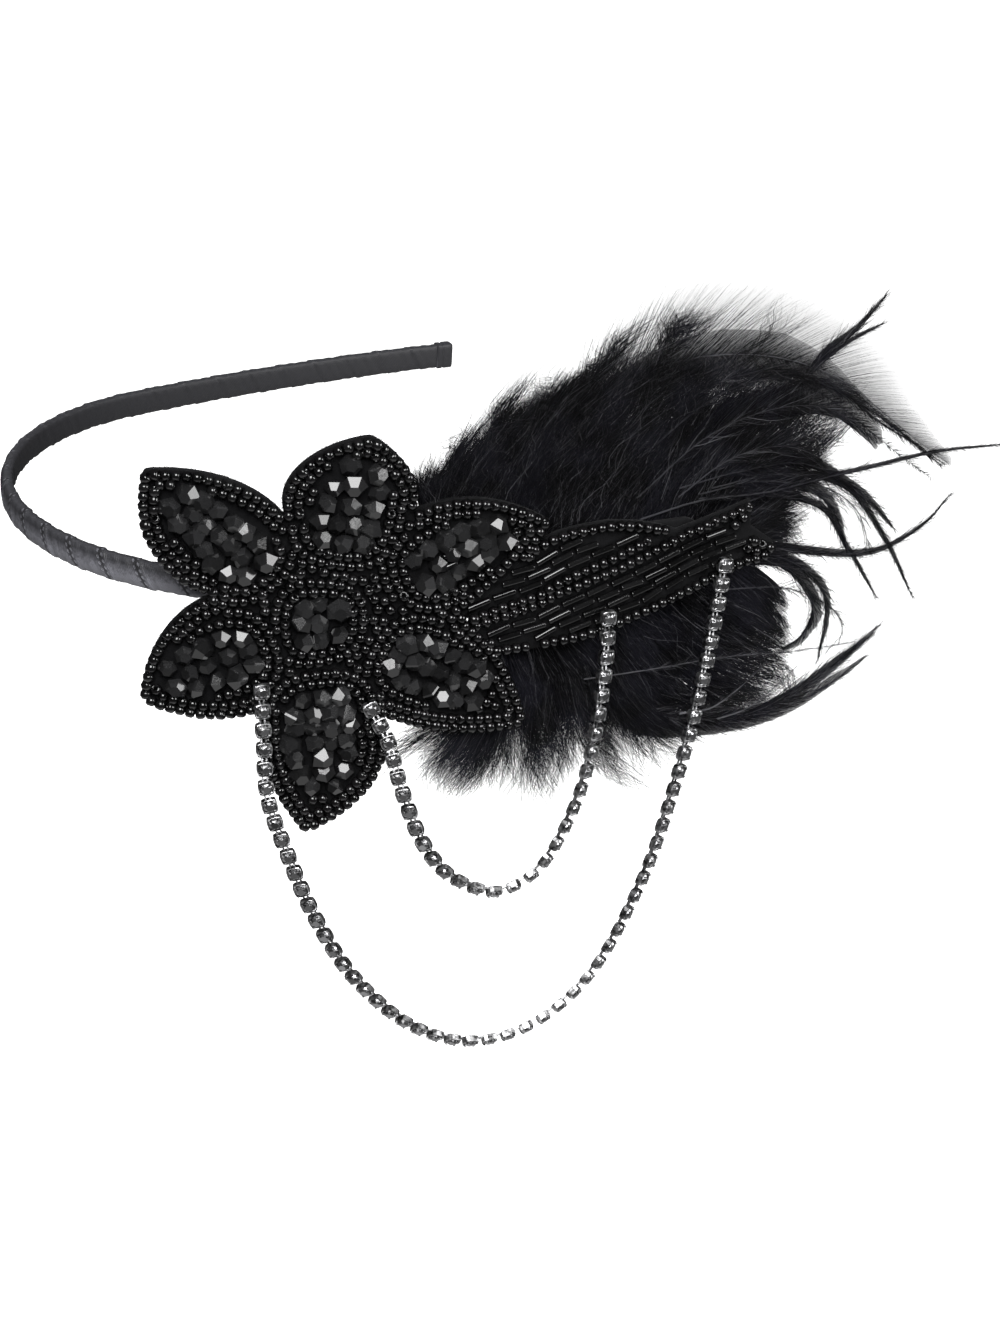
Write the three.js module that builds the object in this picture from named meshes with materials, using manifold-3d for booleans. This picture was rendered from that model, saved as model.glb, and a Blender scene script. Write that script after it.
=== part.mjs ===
import * as THREE from 'three';
import { mergeVertices } from 'three/addons/utils/BufferGeometryUtils.js';
import Module from 'manifold-3d';

const wasm = await Module();
wasm.setup();

// Units are millimetres, +Z is up. The band lies level, as it is worn across the forehead.
// Its crown is at the origin, its arms run toward +X, and the ornament sits on the -Y arm.

// Driving sizes of the band
const BAND_INNER_RADIUS = 59.5;
const BAND_THICKNESS = 2.0;
const BAND_WIDTH = 5.6;
const BAND_CHAMFER = 0.6;
const CROWN_HALF_ANGLE = THREE.MathUtils.degToRad(78.5);
const ARM_RADIUS = 414;
const ARM_LENGTH = 87;
const RIBBON_PITCH = 9.0;
const RIBBON_STEP = 0.25;
const RIBBON_SLANT = 3.4;
const RIBBON_LAP_SHARE = 0.93;
const FOLD_LENGTH = 4.2;
const FOLD_EXTRA = 0.35;
const FOLD_CORNER = 1.0;
const FOLD_THINNING = 0.5;

// Driving sizes of the ornament
const SEAT_GAP = 0.3;
const FELT_THICKNESS = 1.5;
const FELT_MARGIN = 1.0;
const BEAD_THICKNESS = 1.7;
const FLOWER_BEND_RADIUS = 150;
const FLOWER_ACROSS = -5.4;
const FLOWER_UP = -5.4;
const FLOWER_REACH = 52.9;
const LEAF_START = 29;
const LEAF_LENGTH = 68;
const LEAF_HEIGHT = 27.6;
const LEAF_UP = -3;
const LEAF_ROW = 2.3;
const STONE_DIAMETER = 3.8;
const STONE_HEIGHT = 1.6;
const STONE_SIDES = 8;
const STONE_TABLE_SHARE = 0.42;
const STONE_LEAN = 0.09;
const STONE_TILT = 0.5;
const STONE_MARGIN = 0.48;
const STONE_PITCH = 3.95;
const BED_THICKNESS = 1.0;
const CENTRE_FIELD_RADIUS = 5.6;

// Driving sizes of the chains
const CUP_WIDTH = 3.3;
const CUP_HEIGHT = 1.5;
const CHAIN_STONE_HEIGHT = 0.9;
const CHAIN_TABLE_SHARE = 0.55;
const CHAIN_PITCH = 4.45;
const CHAIN_BAR_WIDTH = 0.8;
const CHAIN_BAR_THICKNESS = 0.4;
const CHAIN_CLEARANCE = 0.9;
const CHAIN_TURN = THREE.MathUtils.degToRad(44);
const CHAIN_TURN_POWER = 1.3;

// Driving sizes of the feathers
const PLUME_LENGTH = 110;
const PLUME_THICKNESS = 2.2;
const PAD_THICKNESS = 1.8;
const PAD_CLEARANCE = 0.4;
const PAD_HEIGHT = 5;
const PAD_START = 14;
const PAD_LENGTH = 64;

// One row for each petal. Angles are in degrees from +X, anticlockwise as seen from in front of
// the flower. Reaches are shares of FLOWER_REACH. clef is the notch on the petal's clockwise side,
// and rise and fall shape its clockwise and anticlockwise edges: 1 is straight, less is rounder.
// field gives the oval of cut stones: its place, length and width.
const PETALS = [
  { name: 'right_upper', tip: 21, reach: 0.97, clef: -3, clefReach: 0.57, rise: 1.1, fall: 0.85,
    fieldAngle: 25, fieldReach: 0.6, fieldLength: 0.42, fieldWidth: 0.23 },
  { name: 'top', tip: 76, reach: 0.77, clef: 51, clefReach: 0.55, rise: 0.5, fall: 0.45,
    fieldAngle: 77, fieldReach: 0.49, fieldLength: 0.37, fieldWidth: 0.27 },
  { name: 'left_upper', tip: 136.5, reach: 0.9, clef: 107, clefReach: 0.46, rise: 0.85, fall: 0.5,
    fieldAngle: 136, fieldReach: 0.53, fieldLength: 0.46, fieldWidth: 0.24 },
  { name: 'left_lower', tip: 206, reach: 0.74, clef: 163, clefReach: 0.41, rise: 0.9, fall: 1.0,
    fieldAngle: 202, fieldReach: 0.44, fieldLength: 0.38, fieldWidth: 0.24 },
  { name: 'bottom', tip: 267.5, reach: 0.91, clef: 240, clefReach: 0.42, rise: 1.0, fall: 0.5,
    fieldAngle: 272, fieldReach: 0.51, fieldLength: 0.46, fieldWidth: 0.28 },
  { name: 'right_lower', tip: 328.5, reach: 1.0, clef: 300, clefReach: 0.48, rise: 1.2, fall: 1.1,
    fieldAngle: 332, fieldReach: 0.54, fieldLength: 0.46, fieldWidth: 0.25 },
];

// One row for each station along the leaf. at is a share of LEAF_LENGTH, and top, rib and
// bottom are shares of LEAF_HEIGHT above LEAF_UP.
const LEAF_STATIONS = [
  { at: 0.0, top: -0.13, rib: -0.28, bottom: -0.5 },
  { at: 0.14, top: 0.16, rib: -0.17, bottom: -0.48 },
  { at: 0.29, top: 0.46, rib: -0.06, bottom: -0.46 },
  { at: 0.4, top: 0.51, rib: 0.06, bottom: -0.43 },
  { at: 0.5, top: 0.48, rib: 0.17, bottom: -0.35 },
  { at: 0.59, top: 0.41, rib: 0.27, bottom: -0.27 },
  { at: 0.64, top: 0.34, rib: 0.33, bottom: -0.23 },
  { at: 0.76, top: 0.43, rib: 0.42, bottom: -0.12 },
  { at: 0.88, top: 0.52, rib: 0.5, bottom: -0.03 },
  { at: 0.9, top: 0.3, rib: 0.28, bottom: -0.01 },
  { at: 1.0, top: 0.14, rib: 0.13, bottom: 0.03 },
];

// The two chains' chosen routes. Each row is a point: across along the straight line between
// the two seats, and up above the band's middle.
const LONG_CHAIN_ROUTE = [
  { across: 0.0, up: -19.0 },
  { across: 0.6, up: -30.4 },
  { across: 1.6, up: -43.7 },
  { across: 5.7, up: -56.6 },
  { across: 12.4, up: -73.8 },
  { across: 21.7, up: -90.4 },
  { across: 35.2, up: -104.6 },
  { across: 48.6, up: -110.8 },
  { across: 61.8, up: -109.6 },
  { across: 75.4, up: -99.8 },
  { across: 87.3, up: -76.8 },
  { across: 94.2, up: -51.2 },
  { across: 98.7, up: -26.0 },
  { across: 101.4, up: -1.0 },
];
const SHORT_CHAIN_ROUTE = [
  { across: 0.0, up: -24.4 },
  { across: 3.7, up: -31.8 },
  { across: 7.4, up: -44.4 },
  { across: 12.5, up: -57.5 },
  { across: 18.2, up: -65.6 },
  { across: 26.7, up: -71.0 },
  { across: 31.3, up: -71.6 },
  { across: 39.2, up: -67.4 },
  { across: 46.8, up: -52.7 },
  { across: 50.4, up: -36.0 },
  { across: 51.7, up: -18.5 },
  { across: 51.6, up: -9.3 },
];
const LONG_CHAIN_SEATS = { start: -16.9, end: 84.8 };
const SHORT_CHAIN_SEATS = { start: 5.0, end: 56.6 };

// One row for each feather. Roots and tips are shares of PLUME_LENGTH, across from the pad's
// start and up from the band's middle. bow bends it sideways and width is its half width, as
// shares of its own length. forward is how far the tip leans out toward the front.
const UPPER_FEATHERS = [
  { root: [0.12, 0.05], tip: [0.06, 0.25], bow: 0.1, width: 0.3, forward: 0.01 },
  { root: [0.2, 0.05], tip: [0.22, 0.37], bow: 0.1, width: 0.28, forward: -0.02 },
  { root: [0.28, 0.05], tip: [0.42, 0.47], bow: 0.1, width: 0.24, forward: 0.02 },
  { root: [0.34, 0.05], tip: [0.62, 0.52], bow: 0.1, width: 0.2, forward: -0.03 },
  { root: [0.4, 0.05], tip: [0.82, 0.43], bow: 0.14, width: 0.19, forward: 0.03 },
  { root: [0.46, 0.05], tip: [1.0, 0.33], bow: 0.16, width: 0.16, forward: -0.01 },
  { root: [0.52, 0.05], tip: [1.2, 0.09], bow: 0.2, width: 0.11, forward: 0.04 },
  { root: [0.56, 0.045], tip: [1.35, 0.12], bow: 0.02, width: 0.03, forward: -0.04 },
  { root: [0.55, 0.045], tip: [1.02, -0.02], bow: 0.14, width: 0.1, forward: 0.01 },
];
const LOWER_FEATHERS = [
  { root: [0.1, -0.05], tip: [0.0, -0.42], bow: 0.04, width: 0.26, forward: 0.01 },
  { root: [0.2, -0.05], tip: [0.2, -0.46], bow: 0.04, width: 0.3, forward: -0.02 },
  { root: [0.28, -0.05], tip: [0.42, -0.46], bow: -0.04, width: 0.28, forward: 0.02 },
  { root: [0.36, -0.05], tip: [0.62, -0.44], bow: -0.06, width: 0.24, forward: -0.03 },
  { root: [0.44, -0.05], tip: [0.88, -0.4], bow: -0.1, width: 0.16, forward: 0.03 },
  { root: [0.5, -0.045], tip: [1.06, -0.25], bow: -0.1, width: 0.14, forward: -0.01 },
  { root: [0.54, -0.06], tip: [1.0, -0.16], bow: -0.03, width: 0.1, forward: 0.02 },
];

// Materials
const finish = (color, roughness, metalness = 0) => (
  new THREE.MeshStandardMaterial({ color, roughness, metalness })
);
const RIBBON = finish(0x17171a, 0.5);
const FELT = finish(0x0b0b0c, 0.95);
const BEADS = finish(0x060607, 0.2);
const STONE = finish(0x08080a, 0.08);
const CUP = finish(0xb8b8ba, 0.25, 0.9);
const FEATHER = finish(0x101014, 0.8);

// Derived sizes
const BAND_RADIUS = BAND_INNER_RADIUS + BAND_THICKNESS / 2;
const CROWN_LENGTH = BAND_RADIUS * CROWN_HALF_ANGLE;
const BAND_OUTER = BAND_THICKNESS / 2 + RIBBON_STEP;
const FELT_BACK = BAND_OUTER + FOLD_EXTRA + SEAT_GAP;
const FELT_FRONT = FELT_BACK + FELT_THICKNESS;
const BEAD_BACK = FELT_FRONT + SEAT_GAP;
const BEAD_FRONT = BEAD_BACK + BEAD_THICKNESS;
const CHAIN_LEVEL = BEAD_FRONT + CHAIN_CLEARANCE + CUP_HEIGHT / 2;

// Manifold to geometry and back
function toSolid(geometry) {
  const bare = geometry.clone();
  bare.deleteAttribute('normal');
  bare.deleteAttribute('uv');
  const merged = mergeVertices(bare, 1e-4);
  return new wasm.Manifold(new wasm.Mesh({
    numProp: 3,
    vertProperties: new Float32Array(merged.attributes.position.array),
    triVerts: new Uint32Array(merged.index.array),
  }));
}

function toGeometry(solid) {
  const mesh = solid.getMesh();
  const geometry = new THREE.BufferGeometry();
  geometry.setAttribute('position', new THREE.BufferAttribute(mesh.vertProperties, 3));
  geometry.setIndex(new THREE.BufferAttribute(mesh.triVerts, 1));
  return geometry;
}

function fuse(geometries) {
  const solids = geometries.map(toSolid);
  return toGeometry(solids.slice(1).reduce((sum, solid) => sum.add(solid), solids[0]));
}

function meshFrom(points, triangles) {
  const geometry = new THREE.BufferGeometry();
  const flat = points.flatMap((point) => [point.x, point.y, point.z]);
  geometry.setAttribute('position', new THREE.Float32BufferAttribute(flat, 3));
  geometry.setIndex(triangles);
  geometry.computeVertexNormals();
  return geometry;
}

// A closed skin over rings of points, with a flat cap on each end
function loft(rings) {
  const sides = rings[0].length;
  const last = rings.length - 1;
  const triangles = [];
  for (let i = 0; i < last; i += 1) {
    for (let j = 0; j < sides; j += 1) {
      const a = i * sides + j;
      const b = i * sides + ((j + 1) % sides);
      triangles.push(a, b, b + sides, a, b + sides, a + sides);
    }
  }
  for (let j = 1; j < sides - 1; j += 1) {
    triangles.push(0, j + 1, j);
    triangles.push(last * sides, last * sides + j, last * sides + j + 1);
  }
  return meshFrom(rings.flat(), triangles);
}

// The band's centre line: a crown arc that runs on into two gently curved arms.
// along is measured from the crown, positive on the -Y arm. out is away from the head.
function bandPoint(along, out, up) {
  const length = Math.abs(along);
  const side = along < 0 ? 1 : -1;
  const turn = Math.min(length, CROWN_LENGTH) / BAND_RADIUS;
  const sweep = Math.max(length - CROWN_LENGTH, 0) / ARM_RADIUS;
  const heading = turn + sweep;
  const x = BAND_RADIUS * (1 - Math.cos(turn)) - BAND_THICKNESS / 2
    + ARM_RADIUS * (Math.cos(CROWN_HALF_ANGLE) - Math.cos(CROWN_HALF_ANGLE + sweep));
  const y = BAND_RADIUS * Math.sin(turn)
    + ARM_RADIUS * (Math.sin(CROWN_HALF_ANGLE + sweep) - Math.sin(CROWN_HALF_ANGLE));
  return new THREE.Vector3(
    x - out * Math.cos(heading),
    side * (y + out * Math.sin(heading)),
    up,
  );
}

// The ornament's sheet: upright, along the arm, and bending more gently than the crown.
// across is measured from the end of the crown arc, front is out from the band's centre line.
function sheetPoint(across, up, front) {
  if (across >= 0) {
    return bandPoint(CROWN_LENGTH + across, front, up);
  }
  const radius = FLOWER_BEND_RADIUS + front;
  const start = bandPoint(CROWN_LENGTH, front, up);
  const back = -across / FLOWER_BEND_RADIUS;
  const heading = Math.PI / 2 - CROWN_HALF_ANGLE;
  start.x -= radius * (Math.sin(heading + back) - Math.sin(heading));
  start.y += radius * (Math.cos(heading) - Math.cos(heading + back));
  return start;
}

// A plate on the sheet with any outline that its centre can see, in rings round that centre
function plate(outline, centre, rings, back, front) {
  const points = [];
  const count = outline.length;
  for (const level of [back, front]) {
    points.push(sheetPoint(centre.x, centre.y, level));
    for (let r = 1; r <= rings; r += 1) {
      for (const corner of outline) {
        const spot = centre.clone().lerp(corner, r / rings);
        points.push(sheetPoint(spot.x, spot.y, level));
      }
    }
  }
  const layer = 1 + rings * count;
  const at = (level, ring, k) => level * layer + (ring ? 1 + (ring - 1) * count + (k % count) : 0);
  const triangles = [];
  for (let k = 0; k < count; k += 1) {
    triangles.push(at(0, 0, 0), at(0, 1, k + 1), at(0, 1, k));
    triangles.push(at(1, 0, 0), at(1, 1, k), at(1, 1, k + 1));
    for (let r = 1; r < rings; r += 1) {
      triangles.push(at(0, r, k), at(0, r, k + 1), at(0, r + 1, k + 1));
      triangles.push(at(0, r, k), at(0, r + 1, k + 1), at(0, r + 1, k));
      triangles.push(at(1, r, k), at(1, r + 1, k + 1), at(1, r, k + 1));
      triangles.push(at(1, r, k), at(1, r + 1, k), at(1, r + 1, k + 1));
    }
    triangles.push(at(0, rings, k), at(0, rings, k + 1), at(1, rings, k + 1));
    triangles.push(at(0, rings, k), at(1, rings, k + 1), at(1, rings, k));
  }
  return meshFrom(points, triangles);
}

// A strip on the sheet between a lower and an upper edge, in stations across
function strip(stations, back, front) {
  const rings = stations.map(({ across, low, high }) => [
    sheetPoint(across, low, back),
    sheetPoint(across, high, back),
    sheetPoint(across, high, front),
    sheetPoint(across, low, front),
  ]);
  return loft(rings);
}

// Headband
function headband() {
  const end = CROWN_LENGTH + ARM_LENGTH - FOLD_LENGTH - SEAT_GAP;
  const wraps = Math.round((2 * end) / RIBBON_PITCH);
  const pitch = (2 * end) / wraps;
  const rings = [];
  const section = (along, step) => {
    const t = BAND_THICKNESS / 2 + step;
    const w = BAND_WIDTH / 2 + step;
    const c = BAND_CHAMFER;
    const near = Math.min(1, (end - Math.abs(along)) / RIBBON_SLANT);
    return [
      [-t, -w + c], [-t, w - c], [-t + c, w], [t - c, w],
      [t, w - c], [t, -w + c], [t - c, -w], [-t + c, -w],
    ].map(([out, up]) => bandPoint(along + (near * RIBBON_SLANT * up) / BAND_WIDTH, out, up));
  };
  for (let k = 0; k < wraps; k += 1) {
    rings.push(section(-end + k * pitch, RIBBON_STEP));
    rings.push(section(-end + (k + RIBBON_LAP_SHARE) * pitch, 0));
  }
  rings.push(section(end, 0));
  return loft(rings);
}

// The ribbon folded over each end of the band, with rounded corners
function ribbonFold(side) {
  const t = BAND_OUTER + FOLD_EXTRA;
  const w = BAND_WIDTH / 2 + FOLD_EXTRA;
  const start = CROWN_LENGTH + ARM_LENGTH - FOLD_LENGTH;
  const rings = [0, 0.35, 0.7, 0.9, 1].map((share) => {
    const inset = FOLD_CORNER * (1 - Math.sqrt(1 - share ** 4));
    const half = w - inset;
    const thick = t - inset * FOLD_THINNING;
    return [
      [-thick, -half], [-thick, half], [thick, half], [thick, -half],
    ].map(([out, up]) => bandPoint(side * (start + FOLD_LENGTH * share), out, up));
  });
  return loft(side > 0 ? rings : rings.reverse());
}

// Flower
const FLOWER_CENTRE = new THREE.Vector2(FLOWER_ACROSS, FLOWER_UP);
const EDGE_STEPS = 5;
const FIELD_SIDES = 14;
const FIELD_FULLNESS = 0.72;
const FIELD_TAPER = 0.12;

function flowerOutline(inset) {
  const outline = [];
  PETALS.forEach((petal, index) => {
    const next = PETALS[(index + 1) % PETALS.length];
    const clefAfter = next.clef + (next.clef < petal.tip ? 360 : 0);
    const sides = [
      { from: petal.clef, to: petal.tip, base: petal.clefReach, power: petal.rise, up: true },
      { from: petal.tip, to: clefAfter, base: next.clefReach, power: petal.fall, up: false },
    ];
    for (const side of sides) {
      for (let k = 0; k < EDGE_STEPS; k += 1) {
        const share = k / EDGE_STEPS;
        const climb = side.up ? share : 1 - share;
        const reach = side.base + (petal.reach - side.base) * climb ** side.power;
        const angle = THREE.MathUtils.degToRad(side.from + (side.to - side.from) * share);
        const length = FLOWER_REACH * reach - inset;
        outline.push(new THREE.Vector2(Math.cos(angle), Math.sin(angle))
          .multiplyScalar(length).add(FLOWER_CENTRE));
      }
    }
  });
  return outline;
}

// The oval of cut stones in a petal, a little narrower toward the petal's tip
function fieldOutline(petal, grow, count) {
  const outline = [];
  for (let k = 0; k < count; k += 1) {
    const turn = (2 * Math.PI * k) / count;
    outline.push(fieldSpot(petal, Math.cos(turn), Math.sin(turn), grow));
  }
  return outline;
}

function fieldSpot(petal, alongShare, acrossShare, grow) {
  const angle = THREE.MathUtils.degToRad(petal.fieldAngle);
  const long = new THREE.Vector2(Math.cos(angle), Math.sin(angle));
  const wide = new THREE.Vector2(-long.y, long.x);
  const halfLength = (FLOWER_REACH * petal.fieldLength) / 2 + grow;
  const halfWidth = (FLOWER_REACH * petal.fieldWidth) / 2 + grow;
  const full = (share) => Math.sign(share) * Math.abs(share) ** FIELD_FULLNESS;
  return FLOWER_CENTRE.clone()
    .addScaledVector(long, FLOWER_REACH * petal.fieldReach + halfLength * full(alongShare))
    .addScaledVector(wide, halfWidth * full(acrossShare) * (1 - FIELD_TAPER * full(alongShare)));
}

// Half the width of a field's many-sided edge at a place along it, from -1 at its inner end
// to 1 at its tip
function fieldHalfWidth(petal, along) {
  const centre = fieldSpot(petal, 0, 0, 0);
  const tip = fieldSpot(petal, 1, 0, 0).sub(centre);
  const reach = tip.length();
  const long = tip.divideScalar(reach);
  const edge = fieldOutline(petal, 0, FIELD_SIDES).slice(0, FIELD_SIDES / 2 + 1).map((corner) => {
    const spot = corner.sub(centre);
    return { at: spot.dot(long) / reach, half: Math.abs(spot.cross(long)) };
  });
  const next = Math.max(1, edge.findIndex(({ at }) => at <= along));
  const share = (edge[next - 1].at - along) / (edge[next - 1].at - edge[next].at);
  return edge[next - 1].half + (edge[next].half - edge[next - 1].half) * share;
}

const CENTRE_FIELD = {
  fieldAngle: 0,
  fieldReach: 0,
  fieldLength: (2 * CENTRE_FIELD_RADIUS) / FLOWER_REACH,
  fieldWidth: (2 * CENTRE_FIELD_RADIUS) / FLOWER_REACH,
};

// The places of a field's stones, in rows across the oval
function stoneSpots(petal) {
  const angle = THREE.MathUtils.degToRad(petal.fieldAngle);
  const long = new THREE.Vector2(Math.cos(angle), Math.sin(angle));
  const wide = new THREE.Vector2(-long.y, long.x);
  const radius = STONE_DIAMETER / 2 + STONE_MARGIN;
  const halfLength = (FLOWER_REACH * petal.fieldLength) / 2;
  const travel = halfLength - radius;
  const rows = Math.max(2, Math.floor((2 * travel) / STONE_PITCH) + 1);
  const corner = radius * Math.SQRT1_2;
  const spots = [];
  for (let r = 0; r < rows; r += 1) {
    const along = (travel * (-1 + (2 * r) / (rows - 1))) / halfLength;
    const reaches = [-corner, 0, corner].map((step) => (
      fieldHalfWidth(petal, along + step / halfLength) - (step ? corner : radius)
    ));
    const room = 2 * Math.max(0, Math.min(...reaches));
    const count = Math.floor(room / STONE_PITCH) + 1;
    for (let k = 0; k < count; k += 1) {
      const side = count > 1 ? (k / (count - 1) - 0.5) * room : 0;
      spots.push(fieldSpot(petal, 0, 0, 0)
        .addScaledVector(long, halfLength * along).addScaledVector(wide, side));
    }
  }
  return spots;
}

function ringOf(centre, radius, sides, turn) {
  return Array.from({ length: sides }, (_, k) => (
    new THREE.Vector2(radius, 0).rotateAround(new THREE.Vector2(), turn + (2 * Math.PI * k) / sides)
      .add(centre)
  ));
}

// A field of cut stones set in one bed: each has eight facets round a flat table that leans
// its own way. The bed's face is filled round the stones' girdles.
function stoneField(petal) {
  const edge = fieldOutline(petal, 0, FIELD_SIDES);
  const spots = stoneSpots(petal);
  const girdles = spots.map((spot, i) => ringOf(spot, STONE_DIAMETER / 2, STONE_SIDES, i));
  const top = BEAD_BACK + BED_THICKNESS;
  const points = edge.map((spot) => sheetPoint(spot.x, spot.y, BEAD_BACK));
  const flat = [edge, ...girdles].flat();
  points.push(...flat.map((spot) => sheetPoint(spot.x, spot.y, top)));
  const count = edge.length;
  const triangles = [];
  for (let k = 0; k < count; k += 1) {
    const next = (k + 1) % count;
    triangles.push(k, next, count + next, k, count + next, count + k);
    if (k > 0 && k < count - 1) {
      triangles.push(0, k + 1, k);
    }
  }
  for (const face of THREE.ShapeUtils.triangulateShape(edge, girdles)) {
    triangles.push(...face.map((index) => count + index));
  }
  spots.forEach((spot, i) => {
    const lean = ringOf(new THREE.Vector2(), STONE_LEAN * STONE_DIAMETER, 1, 2.4 * i)[0];
    const table = ringOf(spot.clone().add(lean), STONE_DIAMETER * STONE_TABLE_SHARE / 2,
      STONE_SIDES, i);
    const girdle = 2 * count + i * STONE_SIDES;
    const first = points.length;
    table.forEach((corner, k) => {
      const tilt = lean.dot(corner.clone().sub(spot)) * STONE_TILT;
      points.push(sheetPoint(corner.x, corner.y, top + STONE_HEIGHT - tilt));
      const next = (k + 1) % STONE_SIDES;
      triangles.push(girdle + k, girdle + next, first + next);
      triangles.push(girdle + k, first + next, first + k);
      if (k > 0 && k < STONE_SIDES - 1) {
        triangles.push(first, first + k, first + k + 1);
      }
    });
  });
  return meshFrom(points, triangles);
}

function flowerFelt() {
  return plate(flowerOutline(0), FLOWER_CENTRE, 2, FELT_BACK, FELT_FRONT);
}

function flowerBeads() {
  let ground = toSolid(plate(flowerOutline(FELT_MARGIN), FLOWER_CENTRE, 2, BEAD_BACK, BEAD_FRONT));
  for (const petal of [...PETALS, CENTRE_FIELD]) {
    const window = plate(fieldOutline(petal, SEAT_GAP, FIELD_SIDES), fieldSpot(petal, 0, 0, 0), 1,
      BEAD_BACK - 1, BEAD_FRONT + 1);
    ground = ground.subtract(toSolid(window));
  }
  return toGeometry(ground);
}

// Leaf
function leafStations(inset, low, high, from = 0, to = 1) {
  return LEAF_STATIONS.filter(({ at }) => at >= from && at <= to).map((row) => ({
    across: LEAF_START + LEAF_LENGTH * row.at - (row.at === 1 ? inset : 0),
    low: LEAF_UP + LEAF_HEIGHT * row[low] + inset,
    high: LEAF_UP + LEAF_HEIGHT * row[high] - inset,
  }));
}

function clearOfFlower(geometry, outlineInset) {
  const cutter = plate(flowerOutline(outlineInset - SEAT_GAP), FLOWER_CENTRE, 1, 0, BEAD_FRONT + 3);
  return toGeometry(toSolid(geometry).subtract(toSolid(cutter)));
}

function leafFelt() {
  return clearOfFlower(strip(leafStations(0, 'bottom', 'top'), FELT_BACK, FELT_FRONT), 0);
}

const UPPER_BUGLES = () => leafStations(LEAF_ROW, 'rib', 'top', 0.1, 0.6);
const LOWER_BUGLES = () => leafStations(LEAF_ROW, 'bottom', 'rib', 0.1, 0.89);

function grown(stations, by) {
  return stations.map(({ across, low, high }, index) => ({
    across: across + by * (index === 0 ? -1 : 0) + by * (index === stations.length - 1 ? 1 : 0),
    low: low - by,
    high: high + by,
  }));
}

function leafBeads() {
  const plain = strip(leafStations(FELT_MARGIN, 'bottom', 'top'), BEAD_BACK, BEAD_FRONT);
  let ground = toSolid(clearOfFlower(plain, FELT_MARGIN));
  for (const stations of [UPPER_BUGLES(), LOWER_BUGLES()]) {
    const window = strip(grown(stations, SEAT_GAP), BEAD_BACK - 1, BEAD_FRONT + 1);
    ground = ground.subtract(toSolid(window));
  }
  return toGeometry(ground);
}

// Chains
function chainFrame(seats) {
  const start = sheetPoint(seats.start, 0, CHAIN_LEVEL);
  const end = sheetPoint(seats.end, 0, CHAIN_LEVEL);
  const across = end.clone().sub(start).normalize();
  const front = new THREE.Vector3(across.y, -across.x, 0);
  return { start, across, front };
}

// One cup with its stone, as points in the cup's own frame: x along the chain, z out of the
// stone. First the four low and four high corners, then the table, then the bar's four
// corners on the cup's end and on its start.
function cupPoints() {
  const half = CUP_WIDTH / 2;
  const corners = [[-half, -half], [half, -half], [half, half], [-half, half]];
  const points = [-CUP_HEIGHT / 2, CUP_HEIGHT / 2]
    .flatMap((z) => corners.map(([x, y]) => new THREE.Vector3(x, y, z)));
  for (let k = 0; k < 8; k += 1) {
    const turn = ((k + 0.5) * Math.PI) / 4 + Math.PI;
    const table = half * CHAIN_TABLE_SHARE;
    points.push(new THREE.Vector3(
      table * Math.cos(turn), table * Math.sin(turn), CUP_HEIGHT / 2 + CHAIN_STONE_HEIGHT));
  }
  const level = -CUP_HEIGHT / 2 + CHAIN_BAR_THICKNESS;
  for (const x of [half, -half]) {
    for (const [side, rise] of [[-1, -1], [1, -1], [1, 1], [-1, 1]]) {
      points.push(new THREE.Vector3(
        x, (side * CHAIN_BAR_WIDTH) / 2, level + (rise * CHAIN_BAR_THICKNESS) / 2));
    }
  }
  return points;
}

// The triangles of one cup. Its end walls are open where a bar joins them.
function cupTriangles(hasBefore, hasAfter) {
  const triangles = [0, 2, 1, 0, 3, 2];
  for (const [a, b] of [[0, 1], [2, 3]]) {
    triangles.push(a, b, 4 + b, a, 4 + b, 4 + a);
  }
  const walls = [
    { outer: [1, 2, 6, 5], inner: [16, 17, 18, 19], open: hasAfter },
    { outer: [3, 0, 4, 7], inner: [21, 20, 23, 22], open: hasBefore },
  ];
  for (const { outer, inner, open } of walls) {
    for (let k = 0; k < 4; k += 1) {
      const next = (k + 1) % 4;
      triangles.push(outer[k], outer[next], inner[next], outer[k], inner[next], inner[k]);
    }
    if (!open) {
      triangles.push(inner[0], inner[1], inner[2], inner[0], inner[2], inner[3]);
    }
  }
  for (let k = 0; k < 4; k += 1) {
    const a = 4 + k;
    const b = 4 + ((k + 1) % 4);
    const inner = 8 + 2 * k;
    const next = 8 + ((2 * k + 2) % 8);
    triangles.push(a, inner + 1, inner, a, b, inner + 1, b, next, inner + 1);
  }
  for (let k = 1; k < 7; k += 1) {
    triangles.push(8, 8 + k, 8 + k + 1);
  }
  return triangles;
}

// Where each cup sits, from the chosen route. The stones face the viewer at the seats and
// turn outward and down along the swag.
function cupPlaces(route, seats) {
  const { start, across, front } = chainFrame(seats);
  const curve = new THREE.CatmullRomCurve3(route.map((row) => (
    start.clone().addScaledVector(across, row.across).setZ(row.up)
  )), false, 'centripetal');
  curve.arcLengthDivisions = 800;
  const count = Math.round(curve.getLength() / CHAIN_PITCH) + 1;
  return Array.from({ length: count }, (_, k) => {
    const share = k / (count - 1);
    const along = curve.getTangentAt(share);
    const outward = new THREE.Vector3().crossVectors(along, front);
    const turn = CHAIN_TURN * Math.sin(Math.PI * share) ** CHAIN_TURN_POWER;
    const face = front.clone().multiplyScalar(Math.cos(turn))
      .addScaledVector(outward, Math.sin(turn));
    const side = new THREE.Vector3().crossVectors(face, along).normalize();
    const matrix = new THREE.Matrix4().makeBasis(along, side, face);
    return matrix.setPosition(curve.getPointAt(share));
  });
}

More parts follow.
